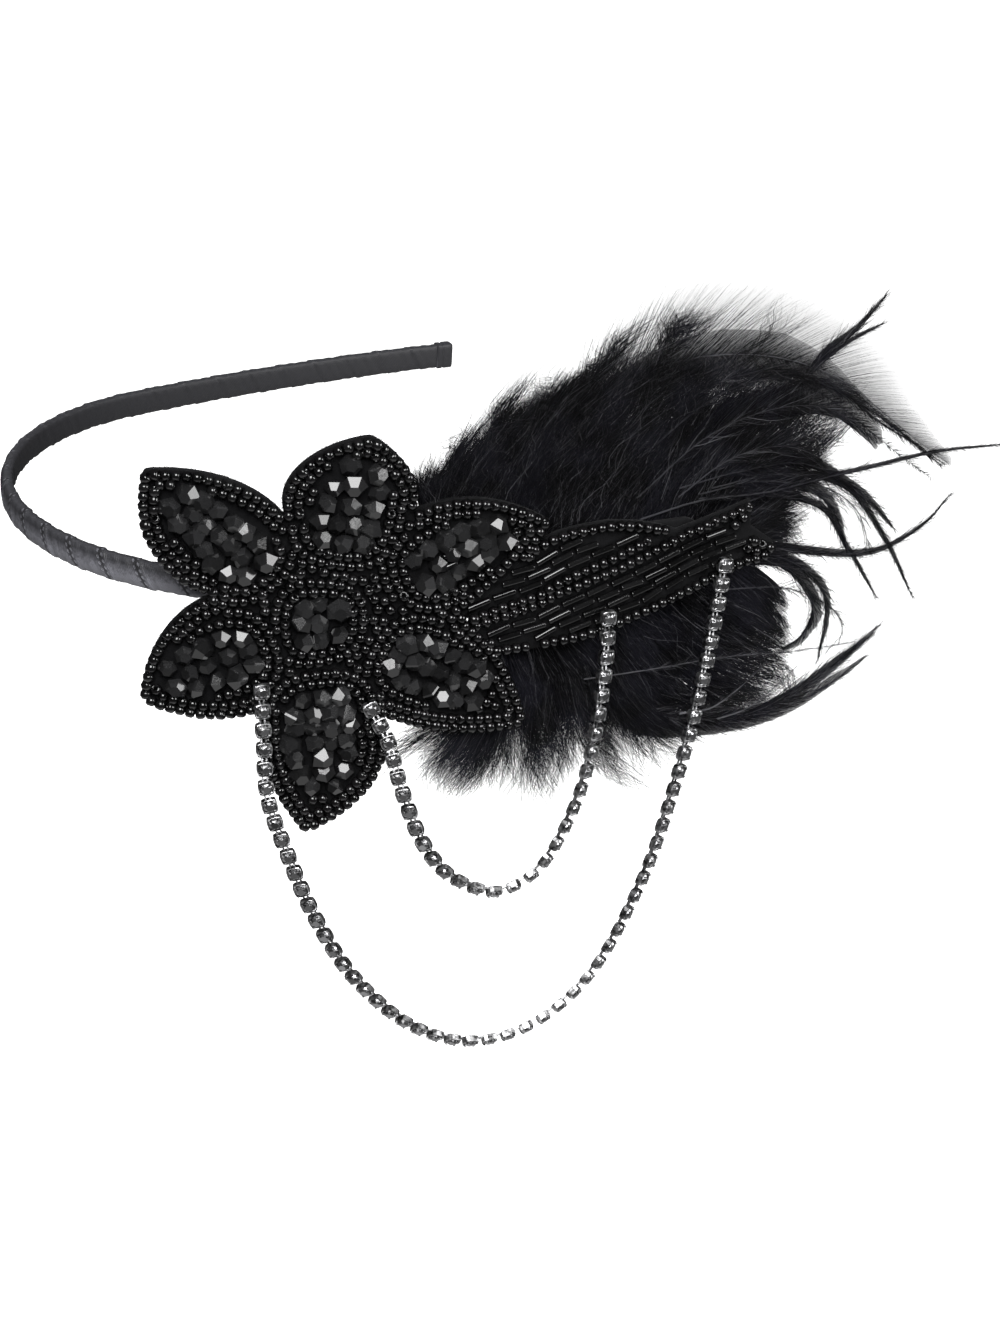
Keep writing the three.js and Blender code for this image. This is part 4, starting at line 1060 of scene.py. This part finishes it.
def cup_frames(route, pitch, turn_limit):
    """Places and frames of the cups of a chain. They stand at equal steps of its route, face the
    viewer at the seats and turn outward and down by the limit times sin(pi share) ** 1.3."""
    (from_seat, to_seat), rows = route
    start = sheet_point(from_seat, 0, CHAIN_LEVEL)[0]
    across = unit(sheet_point(to_seat, 0, CHAIN_LEVEL)[0] - start)
    front = np.array([across[1], -across[0], 0.0])
    rows = np.array(rows)
    points = start + rows[:, :1] * across
    points[:, 2] = rows[:, 1]
    line = smooth_line(points, 60)
    count = int(round(line_length(line) / pitch)) + 1
    share = np.arange(count) / (count - 1)
    places = along_line(line, share)
    along = unit(ahead_on(line, share, 0.002))
    outward = np.cross(along, front)
    turn = (turn_limit * np.sin(math.pi * share) ** 1.3)[:, None]
    face = np.cos(turn) * front + np.sin(turn) * outward
    side = unit(np.cross(face, along))
    return places, np.stack([along, side, face], 1)


def cup_template(width, height):
    """One cup: a rounded square wall with a rim and a floor, and four prongs that bend over the
    stone. The wall is a profile carried round a squared circle."""
    half = width / 2
    profile = np.array([(0.02, -height / 2), (0.86, -height / 2), (1.0, -height / 2 + 0.18),
                        (1.0, height / 2 - 0.12), (0.93, height / 2), (0.84, height / 2 - 0.05),
                        (0.8, 0.1), (0.02, 0.05)])
    turn = around(16)
    square = (np.abs(np.cos(turn)) ** 5 + np.abs(np.sin(turn)) ** 5) ** (-1 / 5)
    wall = np.stack(np.broadcast_arrays(
        half * profile[:, :1] * square * np.cos(turn), half * profile[:, :1] * square * np.sin(turn),
        profile[:, 1:]), -1).reshape(-1, 3)
    pieces = [(wall, [grid(8, 16, close_cols=True)])]
    spine = np.array([(1.3, -0.2), (1.34, 0.3), (1.3, 0.85), (1.12, 1.2), (0.84, 1.28)])
    spine = spine * [half / 1.32, height / 1.5]
    thick = np.array([0.2, 0.2, 0.2, 0.17, 0.09])[:, None, None]
    for angle in math.pi / 4 + around(4):
        out = np.array([math.cos(angle), math.sin(angle), 0])
        beside = np.array([-math.sin(angle), math.cos(angle), 0])
        middle = spine[:, None, :1] * out + spine[:, None, 1:] * [0, 0, 1]
        prong = middle + thick * (SQUARE[..., :1] * beside * 1.25 + SQUARE[..., 1:] * out)
        pieces.append((prong.reshape(-1, 3),
                       [grid(5, 4, close_cols=True), np.array([[16, 17, 18, 19]])]))
    return joined(pieces)


def link_bars(places, frames, width, height):
    """Two thin bars from each cup to the next, along the chain's back."""
    half = 0.42 * width
    loop = 0.17 * SQUARE
    bars = []
    for side in (-0.28, 0.28):
        ends = []
        for cups, axes, reach in ((places[:-1], frames[:-1], half), (places[1:], frames[1:], -half)):
            middle = cups + reach * axes[:, 0] - 0.3 * height * axes[:, 2]
            ends.append(middle[:, None] + (loop[..., :1] + side * width * 0.5) * axes[:, None, 1]
                        + loop[..., 1:] * axes[:, None, 2])
        bars.append(np.stack(ends, 1))
    faces = repeated(grid(2, 4, close_cols=True), 2 * len(places) - 2, 8)
    return np.concatenate(bars).reshape(-1, 3), [faces]


# Feathers

def profile_of(share):
    """How wide a feather is along its shaft: quick to open, slow to close."""
    return np.minimum(1, share / 0.12) ** 0.5 * np.maximum(1 - share ** 2.2, 0) ** 0.75


def reach_of(limit, share):
    """A feather's reach at shares of its shaft, from one number or one for each stretch."""
    if np.isscalar(limit):
        return limit * profile_of(share)
    return np.interp(share, np.linspace(0, 1, len(limit)), limit) * np.minimum(
        1, np.sqrt(np.maximum(1 - share, 0) / 0.04))


def strand_paths(shaft, share, angle, reach, stray, lift, steps):
    """Paths of strands that leave the shaft at shares of its length. Each turns from its angle
    toward the shaft's own heading, strays by its wave, and leaves the sheet by its lift."""
    root = along_line(shaft, share)
    ahead = ahead_on(shaft, share, 0.01)
    heading = np.arctan2(ahead[:, 1], ahead[:, 0])[:, None]
    way = heading + angle + stray
    flat = np.cos(lift) * reach[:, None] / (steps - 1)
    step = np.stack([np.cos(way) * flat, np.sin(way) * flat,
                     np.sin(lift) * reach[:, None] / (steps - 1) + 0 * way], -1)
    start = np.zeros((len(share), 1, 3))
    return root[:, None] + np.concatenate([start, np.cumsum(step, axis=1)], 1)


def gathered(paths, group, pull):
    """Draws the tips of each group of strands toward their mean, more toward the tip."""
    tips = paths[:, -1]
    count = np.maximum(np.bincount(group, minlength=group.max() + 1), 1)[:, None]
    mean = np.stack([np.bincount(group, part, group.max() + 1) for part in tips.T], -1) / count
    share = (np.linspace(0, 1, paths.shape[1]) ** 1.6)[None, :, None]
    return paths + pull * share * (mean[group] - tips)[:, None]


def ribbons(rng, paths, width, roll, light=0.0):
    """Each path as a thin tapering ribbon, rolled about its own line by chance. light raises the
    chance values, which makes more of the strands painted pale: painted highlights of strands that
    catch the light."""
    count, steps = paths.shape[:2]
    share = np.linspace(0, 1, steps)[None, :, None]
    ahead = np.gradient(paths, axis=1)
    beside = unit(np.stack([-ahead[..., 1], ahead[..., 0], 0 * ahead[..., 0]], -1))
    angle = rng.normal(0, roll, (count, 1, 1))
    beside = np.cos(angle) * beside + np.sin(angle) * np.array([0, 0, 1.0])
    half = width[:, None, None] / 2 * np.maximum(1 - share ** 1.5, 0.06) * beside
    points = np.stack([paths - half, paths + half], 2)
    uv = np.broadcast_to(np.stack(np.broadcast_arrays(share, share * 0), -1)[..., 0, :][:, :, None],
                         (count, steps, 2, 2))
    shade = np.minimum(rng.random(count) * (1 + light), 1)
    shade = np.broadcast_to(shade[:, None, None], (count, steps, 2))
    return on_sheet(points).reshape(-1, 3), strips(count, steps), uv.reshape(-1, 2), shade.ravel()


def laid_out(style, local, limit, side, q):
    """Where strands leave the shaft, their turn at each step q and their length. Both ends of the
    style's angles are blended along the shaft, and length = reach / sin angle."""
    angle = np.radians(np.interp(local, [0, 1], style.angles))[:, None]
    share = style.bare + (1 - style.bare) * local
    turn = side * angle * (1 - style.curl * q)
    return share, turn, reach_of(limit, local) / np.sin(angle[:, 0])


def feather(rng, style, path, density):
    """One feather, as its strands and its webs: a tapering shaft, strands on both sides of it
    and, beneath them, a web on each side."""
    shaft = smooth_line(path, 12)
    length = line_length(shaft)
    strands, webs = [shaft_tube(shaft, style.shaft, style.light)], []
    steps = 6
    q = (np.arange(steps - 1) + 0.5) / (steps - 1)
    for side, limit in ((1, style.left), (-1, style.right)):
        count = int(length * (1 - style.bare) / style.pitch * density)
        local = ((np.arange(count) + rng.random(count)) / count) ** 1.35
        share, turn, reach = laid_out(style, local, limit, side, q)
        reach = np.maximum(reach, 1.2 + 3 * style.loose)
        reach = reach * rng.uniform(1 - 0.6 * style.loose, 1 + 0.25 * style.loose, count)
        phase = rng.uniform(0, 2 * math.pi, (count, 1))
        stray = style.loose * (rng.normal(0, 0.22, (count, 1)) + 0.3 * np.sin(5 * q + phase))
        lift = style.loose * rng.normal(0.0, 0.35, (count, 1))
        paths = strand_paths(shaft, share, turn, reach, stray, lift, steps)
        group = (local * length / (1.2 + 2.6 * style.loose)).astype(int)
        paths = gathered(paths, group, 0.1 + 0.5 * style.loose)
        thick = style.strand * rng.uniform(0.6, 1.2, count)
        strands.append(ribbons(rng, paths, thick, 0.3 + 0.9 * style.loose, 0.3 * style.light))
        if style.web:
            rows = 60
            local = np.linspace(0, 0.995, rows)
            share, turn, reach = laid_out(style, local, limit, side, q)
            web = strand_paths(shaft, share, turn, style.web * reach, 0.0, np.zeros((rows, 1)), steps)
            web[..., 2] -= 0.15
            uv = np.stack(np.broadcast_arrays(np.linspace(0, 1, steps),
                                              share[:, None] * length + rng.random() * 40), -1)
            sheer = np.repeat(np.interp(local, [0, 1], style.sheer), steps)
            webs.append((on_sheet(web).reshape(-1, 3), [grid(rows, steps)], uv.reshape(-1, 2), sheer))
    return strands, webs


def flow(guides, place, share):
    """Places in a field of guide lines. place picks between neighbours and share runs from root
    to tip. Both are blended in straight lines, and share may run past the tip."""
    lines = np.stack([along_line(smooth_line(guide, 8), np.linspace(0, 1, 17)) for guide in guides])
    place = np.clip(place, 0, len(lines) - 1.001)
    low = place.astype(int)
    at = np.clip((share * 16).astype(int), 0, 15)
    blend, part = (place - low)[..., None], (share * 16 - at)[..., None]
    first = lines[low, at] * (1 - part) + lines[low, at + 1] * part
    second = lines[low + 1, at] * (1 - part) + lines[low + 1, at + 1] * part
    return first * (1 - blend) + second * blend


def field_strands(rng, field, density):
    """Soft strands that follow a field's guides, each a little to one side and out of the sheet."""
    count, last = int(field.count * density), len(field.guides) - 1
    lengths = [line_length(smooth_line(guide, 8)) for guide in field.guides]
    place = rng.random((count, 1)) * last
    run = field.length * rng.uniform(0.5, 1.3, (count, 1)) / np.interp(
        place, np.arange(last + 1), lengths)
    run = np.minimum(run, 0.95)
    tufts = np.sort(rng.random(int(last / field.clump) + 2)) * last
    tuft = np.abs(place - tufts[None]).argmin(1)[:, None]
    inner = run + (0.97 - run) * rng.random((count, 1))
    outer = (0.97 - np.abs(rng.normal(0, 0.05, (count, 1)))
             + rng.normal(0, field.ragged, len(tufts))[tuft])
    tip = np.where(rng.random((count, 1)) < field.edge, outer, inner)
    q = np.linspace(0, 1, 5)
    share = tip - run * (1 - q)
    phase = rng.uniform(0, 2 * math.pi, (count, 1))
    lean = rng.normal(0, 1, len(tufts))[tuft] + rng.normal(0, 0.45, (count, 1))
    aside = field.drift * (0.5 * lean * q ** 1.4 + 0.2 * (np.sin(phase + 4 * q) - np.sin(phase)))
    aside = aside + rng.uniform(0.3, 1.0, (count, 1)) * (tufts[tuft] - place) * q ** 2
    paths = flow(field.guides, place + aside, np.maximum(share, 0))
    paths[..., 2] += field.depth * (rng.uniform(-0.6, 0.6, (count, 1))
                                    + rng.normal(0, 0.5, (count, 1)) * q)
    return ribbons(rng, paths, field.width * rng.uniform(0.6, 1.3, count), 0.9)


def field_web(guides, reach):
    """A web that lies under a field of strands and thins out toward the tips of its guides."""
    rows, cols = 10 * len(guides), 24
    place = np.linspace(0, len(guides) - 1, rows)[:, None]
    share = np.linspace(0, reach, cols)[None, :]
    points = flow(guides, place + 0 * share, share + 0 * place)
    points[..., 2] -= 1.2
    uv = np.stack(np.broadcast_arrays(share / reach, place * 9), -1)
    return (on_sheet(points).reshape(-1, 3), [grid(rows, cols)], uv.reshape(-1, 2),
            np.zeros(rows * cols))


def shaft_tube(shaft, radius, light):
    """The shaft: a four-sided tube that tapers to the tip. Its chance value is set high, so that it is
    painted a little pale, and paler where light is given: a painted highlight along the shaft.
    """
    share = np.linspace(0, 0.99, 20)
    middle = along_line(shaft, share)
    ahead = unit(np.gradient(middle, axis=0))
    beside = unit(np.stack([-ahead[:, 1], ahead[:, 0], 0 * share], -1))
    thick = (radius * (1 - 0.85 * share))[:, None, None]
    loop = np.array([(1, 0), (0, 1), (-1, 0), (0, -1)])[None]
    points = middle[:, None] + thick * (
        loop[..., :1] * beside[:, None] + loop[..., 1:] * np.array([0, 0, 1.0]))
    uv = np.zeros((80, 2))
    return on_sheet(points).reshape(-1, 3), [grid(20, 4, close_cols=True)], uv, np.full(
        80, 0.9 + 0.1 * light)


# Property groups

class RibbonSizes(PropertyGroup):
    """Sizes of the wound ribbon"""
    pitch: FloatProperty(name="Pitch", description="Length of one turn of ribbon",
                         default=0.009, unit="LENGTH")
    lap: FloatProperty(name="Lap", description="How far an edge stands proud",
                       default=0.00028, unit="LENGTH")


class BeadSizes(PropertyGroup):
    """Sizes of the beads and cut stones"""
    seed: FloatProperty(name="Seed bead", description="Diameter of a seed bead",
                        default=0.0023, unit="LENGTH")
    bugle_length: FloatProperty(name="Bugle length", description="Length of a bugle bead",
                                default=0.005, unit="LENGTH")
    bugle_width: FloatProperty(name="Bugle width", description="Diameter of a bugle bead",
                               default=0.0014, unit="LENGTH")
    bugle_spacing: FloatProperty(name="Bugle spacing", description="From one row to the next",
                                 default=0.0022, unit="LENGTH")
    stone: FloatProperty(name="Stone", description="Diameter of a cut stone",
                         default=0.0054, unit="LENGTH")
    stone_tilt: FloatProperty(name="Stone tilt", description="How far the stones lean by chance",
                              default=math.radians(42), subtype="ANGLE")


class ChainSizes(PropertyGroup):
    """Sizes of the cup chains"""
    cup_width: FloatProperty(name="Cup width", description="Width of one cup",
                             default=0.0033, unit="LENGTH")
    cup_height: FloatProperty(name="Cup height", description="Height of one cup's wall",
                              default=0.0015, unit="LENGTH")
    pitch: FloatProperty(name="Pitch", description="From one cup to the next",
                         default=0.00445, unit="LENGTH")
    turn: FloatProperty(name="Turn", description="How far the lowest cups turn outward",
                        default=math.radians(44), subtype="ANGLE")


class FeatherSizes(PropertyGroup):
    """How full the feathers are"""
    density: FloatProperty(name="Density", description="Strands for each feather, as a share",
                           default=1.0, min=0.1, max=1.5)
    seed: IntProperty(name="Seed", description="Starts the chance values", default=11)


class Colours(PropertyGroup):
    """Colours of the finishes"""
    ribbon: FloatVectorProperty(name="Ribbon", description="Satin ribbon", subtype="COLOR",
                                default=(0.024, 0.024, 0.027))
    felt: FloatVectorProperty(name="Felt", description="Felt backing", subtype="COLOR",
                              default=(0.005, 0.005, 0.0055))
    glass: FloatVectorProperty(name="Glass", description="Black glass beads", subtype="COLOR",
                               default=(0.005, 0.005, 0.0052))
    metal: FloatVectorProperty(name="Metal", description="Cups and links", subtype="COLOR",
                               default=(0.7, 0.7, 0.71))
    smoke: FloatVectorProperty(name="Smoky stone", description="Stones of the chains",
                               subtype="COLOR", default=(0.4, 0.4, 0.41))
    feather: FloatVectorProperty(name="Feather", description="Feather strands", subtype="COLOR",
                                 default=(0.0016, 0.0016, 0.0021))
    feather_tint: FloatVectorProperty(name="Feather tint", description="Bluish feather strands",
                                      subtype="COLOR", default=(0.0058, 0.0058, 0.0088))
    # The pale colour of painted highlights on strands and shafts that catch the light.
    painted_feather_glint: FloatVectorProperty(name="Feather light", description="Palest strands",
                                       subtype="COLOR", default=(0.2, 0.2, 0.215))
    floor: FloatVectorProperty(name="Floor", description="Floor under the headband",
                               subtype="COLOR", default=(0.93, 0.93, 0.93))


# Operators

class HEADBAND_OT_ribbon(Operator):
    """Winds the ribbon round the band and folds it over both ends"""
    bl_idname = "headband.ribbon"
    bl_label = "Ribbon"

    def execute(self, context):
        sizes = context.scene.headband_ribbon
        finish = ribbon_finish(context.scene.headband_colours)
        points, faces, uv, shade = wrapped_band(sizes.pitch / MM, sizes.lap / MM)
        make_piece("wound_ribbon", points, faces, finish, "ribbon", ["headband"], uv, shade)
        for name, node, side in (("ribbon_fold_near", "ribbon_end_near", 1),
                                 ("ribbon_fold_far", "ribbon_end_far", -1)):
            points, faces, uv, shade = ribbon_fold(side)
            make_piece(name, points, faces, finish, "ribbon", [node], uv, shade)
        return {"FINISHED"}


class HEADBAND_OT_felt(Operator):
    """Cuts the felt backings of the flower and the leaf, with fuzz on their edges"""
    bl_idname = "headband.felt"
    bl_label = "Felt"

    def execute(self, context):
        rng = np.random.default_rng(3)
        finish = felt_finish(context.scene.headband_colours)
        middle = (FELT_BACK + FELT_FRONT) / 2
        edge = flower_outline()
        outward = unit(edge - FLOWER_CENTRE)
        flower = joined([felt_flower(), fuzz(rng, edge, outward, 1500, middle)])
        make_piece("flower_backing", *flower, finish, "felt", ["flower_felt"])
        parts = [felt_strip(LEAF_TOP, LEAF_BOTTOM, FELT_BACK, FELT_FRONT - 0.1)]
        for line, way in ((LEAF_TOP, 1.0), (LEAF_BOTTOM, -1.0)):
            outward = np.tile([0.0, way], (len(line), 1))
            parts.append(fuzz(rng, np.array(line), outward, 450, middle))
        make_piece("leaf_backing", *joined(parts), finish, "felt", ["leaf_felt"])
        return {"FINISHED"}


class HEADBAND_OT_seed_beads(Operator):
    """Sews the seed beads on the flower and the leaf"""
    bl_idname = "headband.seed_beads"
    bl_label = "Seed beads"

    def execute(self, context):
        rng = np.random.default_rng(5)
        sizes = context.scene.headband_beads
        size, length = sizes.seed / MM, sizes.bugle_length / MM
        taken = bugle_line(bugle_spots(length, sizes.bugle_spacing / MM), length)
        finish = glass_finish("seed_bead_glass", context.scene.headband_colours.glass, 0.03)
        for name, node, spots in (
                ("flower_beads", "flower_seed_beads", flower_bead_spots(rng, size, taken)),
                ("leaf_beads", "leaf_seed_beads", leaf_bead_spots(rng, size, taken))):
            points, faces, shade = beads(rng, spots, seed_bead_profile(size), 8, 0.16, 0.3, 0.045)
            make_piece(name, points, faces, finish, "seed_beads", [node], shade=shade)
        return {"FINISHED"}


class HEADBAND_OT_bugles(Operator):
    """Lays the bugle beads in rows along the leaf"""
    bl_idname = "headband.bugles"
    bl_label = "Bugle beads"

    def execute(self, context):
        rng = np.random.default_rng(7)
        sizes = context.scene.headband_beads
        length, width = sizes.bugle_length / MM, sizes.bugle_width / MM
        finish = glass_finish("bugle_glass", context.scene.headband_colours.glass, 0.05)
        spots = bugle_spots(length, sizes.bugle_spacing / MM)
        points, faces, shade = beads(rng, spots, bugle_profile(length, width), 10, 0.05, 0.05)
        make_piece("leaf_bugles", points, faces, finish, "bugle_beads",
                   ["leaf_bugles_upper", "leaf_bugles_lower"], shade=shade)
        return {"FINISHED"}


class HEADBAND_OT_stones(Operator):
    """Sets the cut stones in the petals and the centre"""
    bl_idname = "headband.stones"
    bl_label = "Cut stones"

    def execute(self, context):
        rng = np.random.default_rng(9)
        sizes = context.scene.headband_beads
        # 3.5 lets facets with high chance values be painted up to mid grey: painted reflections.
        finish = glass_finish("cut_stone_glass", context.scene.headband_colours.glass, 0.1, 3.5)
        for petal in PETALS + [CENTRE_FIELD]:
            spots = stone_spots(rng, petal, 0.76 * sizes.stone / MM, 0.38 * sizes.stone / MM)
            count = len(spots)
            axes = sheet_axes(spots[:, 0])
            frames = turned(axes, rng.uniform(0, 6.3, count), rng.normal(0, sizes.stone_tilt, count))
            frames = frames * (sizes.stone / MM / 2 * rng.uniform(0.8, 1.1, (count, 1, 1)))
            places = sheet_point(spots[:, 0], spots[:, 1],
                                 BEAD_LEVEL + 0.3 + rng.normal(0, 0.2, count))
            mesh = faceted(rng, cut_bead(), frames, places, 0.6)
            piece = "centre_cut_stones" if petal is CENTRE_FIELD else f"cut_stones_{petal.name}"
            node = "centre_stones" if petal is CENTRE_FIELD else f"petal_stones_{petal.name}"
            make_piece(piece, mesh[0], mesh[1], finish, "cut_stones", [node], shade=mesh[2],
                       smooth=False)
        return {"FINISHED"}


class HEADBAND_OT_chains(Operator):
    """Hangs the two chains of stones in silver cups"""
    bl_idname = "headband.chains"
    bl_label = "Cup chains"

    def execute(self, context):
        rng = np.random.default_rng(13)
        sizes = context.scene.headband_chains
        width, height = sizes.cup_width / MM, sizes.cup_height / MM
        silver = metal_finish(context.scene.headband_colours)
        smoke = smoke_finish(context.scene.headband_colours)
        template, cup_faces = cup_template(width, height)
        points, triangles, facets = cut_stone()
        for name, route in (("chain_long", LONG_CHAIN), ("chain_short", SHORT_CHAIN)):
            places, frames = cup_frames(route, sizes.pitch / MM, sizes.turn)
            metal = joined([copies(template, cup_faces, frames, places),
                            link_bars(places, frames, width, height)])
            make_piece(f"{name}_cups", *metal, silver, "cup_chain", [name], smooth=False)
            seats = places + 0.32 * height * frames[:, 2]
            stone = points * [1, 1, 0.9], triangles, facets
            # Each facet gets a chance value, which the smoky finish paints as a darker or lighter
            # facet: painted reflections.
            mesh = faceted(rng, stone, frames * (0.44 * width), seats, 0.8)
            make_piece(f"{name}_stones", mesh[0], mesh[1], smoke, "cup_chain", [name],
                       shade=mesh[2], smooth=False)
        return {"FINISHED"}


class HEADBAND_OT_feathers(Operator):
    """Fans the feathers above and below the leaf"""
    bl_idname = "headband.feathers"
    bl_label = "Feathers"

    def execute(self, context):
        sizes = context.scene.headband_feathers
        colours = context.scene.headband_colours
        felt = felt_finish(colours)
        web = web_finish(colours)
        for plume, fields, sheets, singles, side in (
                ("upper", UPPER_FIELDS, [UPPER_GUIDES], UPPER_FEATHERS, 1),
                ("lower", LOWER_FIELDS, [LOWER_SMOOTH, LOWER_GUIDES], LOWER_FEATHERS, -1)):
            node = f"plume_{plume}"
            finish = feather_finish(f"black_feather_{plume}", colours, 1.0 if side > 0 else 1.5)
            rng = np.random.default_rng(sizes.seed + side)
            strands = []
            webs = [field_web(guides, reach) for guides, reach in zip(sheets, FIELD_WEBS)]
            for style, path in singles:
                new_strands, new_webs = feather(rng, style, path, sizes.density)
                strands += new_strands
                webs += new_webs
            pieces = [("webs", webs, web), ("long", strands, finish)]
            for name, field in zip(("soft", "down", "fringe"), fields):
                pieces.append((name, [field_strands(rng, field, sizes.density)], finish))
            for name, parts, surface in pieces:
                points, faces, uv, shade = joined(parts)
                make_piece(f"{node}_{name}", points, faces, surface, "feathers", [node], uv, shade)
            low, high = sorted(side * edge for edge in PAD_EDGES)
            top, bottom = ([(end, level) for end in PAD_ENDS] for level in (high, low))
            points, faces = felt_strip(top, bottom, PAD_FRONT - PAD_THICKNESS, PAD_FRONT, 60)
            make_piece(f"{node}_pad", points, faces, felt, "felt", [node])
        return {"FINISHED"}


class HEADBAND_OT_stage(Operator):
    """Sets the floor, the lights and the camera"""
    bl_idname = "headband.stage"
    bl_label = "Stage"

    def execute(self, context):
        scene = context.scene
        mesh = bpy.data.meshes.new("floor")
        corners = [(x * FLOOR_SIDE, y * FLOOR_SIDE, FLOOR_LEVEL)
                   for x, y in ((-1, -1), (1, -1), (1, 1), (-1, 1))]
        mesh.from_pydata(corners, [], [(0, 1, 2, 3)])
        mesh.materials.append(floor_finish(scene.headband_colours))
        floor = bpy.data.objects.new("floor", mesh)
        floor.visible_glossy = False
        floor.visible_diffuse = False
        scene.collection.objects.link(floor)
        self.add_world(scene)
        scene.view_settings.view_transform = "Standard"
        for name, place, size, power in LAMPS:
            light = bpy.data.lights.new(name, "AREA")
            light.size = size
            light.energy = power
            lamp = bpy.data.objects.new(name, light)
            lamp.visible_glossy = name != "top"
            lamp.location = place
            lamp.rotation_euler = (TARGET - Vector(place)).to_track_quat("-Z", "Y").to_euler()
            scene.collection.objects.link(lamp)
        self.add_camera(scene)
        return {"FINISHED"}

    def add_world(self, scene):
        """White to the camera. As light it is dim above and bright straight below."""
        world = bpy.data.worlds.new("studio")
        world.use_nodes = True
        nodes, links = world.node_tree.nodes, world.node_tree.links
        soft = nodes["Background"]
        place = nodes.new("ShaderNodeTexCoord")
        parts = nodes.new("ShaderNodeSeparateXYZ")
        table = nodes.new("ShaderNodeMapRange")
        links.new(place.outputs["Generated"], parts.inputs[0])
        links.new(parts.outputs["Z"], table.inputs["Value"])
        for key, value in (("From Min", -0.45), ("From Max", -0.85), ("To Min", 0.04),
                           ("To Max", 0.8)):
            table.inputs[key].default_value = value
        links.new(table.outputs["Result"], soft.inputs["Strength"])
        soft.inputs["Color"].default_value = (1, 1, 1, 1)
        backdrop = nodes.new("ShaderNodeBackground")
        backdrop.inputs["Color"].default_value = (1, 1, 1, 1)
        mixed = nodes.new("ShaderNodeMixShader")
        links.new(nodes.new("ShaderNodeLightPath").outputs["Is Camera Ray"], mixed.inputs[0])
        links.new(soft.outputs[0], mixed.inputs[1])
        links.new(backdrop.outputs[0], mixed.inputs[2])
        links.new(mixed.outputs[0], nodes["World Output"].inputs["Surface"])
        scene.world = world

    def add_camera(self, scene):
        """A camera that stands back from the target, turned, raised, rolled and moved sideways."""
        back = Vector((math.sin(AZIMUTH) * math.cos(ELEVATION),
                       -math.cos(AZIMUTH) * math.cos(ELEVATION), math.sin(ELEVATION)))
        right = Vector((math.cos(AZIMUTH), math.sin(AZIMUTH), 0))
        up = back.cross(right)
        rolled = math.cos(ROLL) * right + math.sin(ROLL) * up
        upright = math.cos(ROLL) * up - math.sin(ROLL) * right
        place = TARGET + CAMERA_BACK * back + CAMERA_RIGHT * rolled - CAMERA_DOWN * upright
        data = bpy.data.cameras.new("camera")
        data.sensor_fit = "VERTICAL"
        data.sensor_height = 36.0
        data.lens = data.sensor_height * FOCAL_PIXELS / FRAME_HEIGHT
        camera = bpy.data.objects.new("camera", data)
        turn = Matrix((rolled, upright, back)).transposed().to_4x4()
        camera.matrix_world = Matrix.Translation(place) @ turn
        scene.collection.objects.link(camera)
        scene.camera = camera


class HEADBAND_PT_panel(Panel):
    """Lists the headband's pieces"""
    bl_idname = "HEADBAND_PT_panel"
    bl_label = "Feather Headband"
    bl_space_type = "VIEW_3D"
    bl_region_type = "UI"
    bl_category = "Headband"

    def draw(self, context):
        for name, group in GROUPS:
            box = self.layout.box()
            for field in group.__annotations__:
                box.prop(getattr(context.scene, name), field)
        for operator in STEPS:
            self.layout.operator(operator.bl_idname)


GROUPS = (("headband_ribbon", RibbonSizes), ("headband_beads", BeadSizes),
          ("headband_chains", ChainSizes), ("headband_feathers", FeatherSizes),
          ("headband_colours", Colours))
STEPS = (HEADBAND_OT_stage, HEADBAND_OT_ribbon, HEADBAND_OT_felt, HEADBAND_OT_seed_beads,
         HEADBAND_OT_bugles, HEADBAND_OT_stones, HEADBAND_OT_chains, HEADBAND_OT_feathers)


def register():
    for name, group in GROUPS:
        bpy.utils.register_class(group)
        setattr(bpy.types.Scene, name, PointerProperty(type=group))
    for cls in STEPS + (HEADBAND_PT_panel,):
        bpy.utils.register_class(cls)


def unregister():
    for cls in reversed(STEPS + (HEADBAND_PT_panel,)):
        bpy.utils.unregister_class(cls)
    for name, group in reversed(GROUPS):
        delattr(bpy.types.Scene, name)
        bpy.utils.unregister_class(group)


def main():
    register()
    for operator in STEPS:
        group, name = operator.bl_idname.split(".")
        getattr(getattr(bpy.ops, group), name)()


if __name__ == "__main__":
    main()
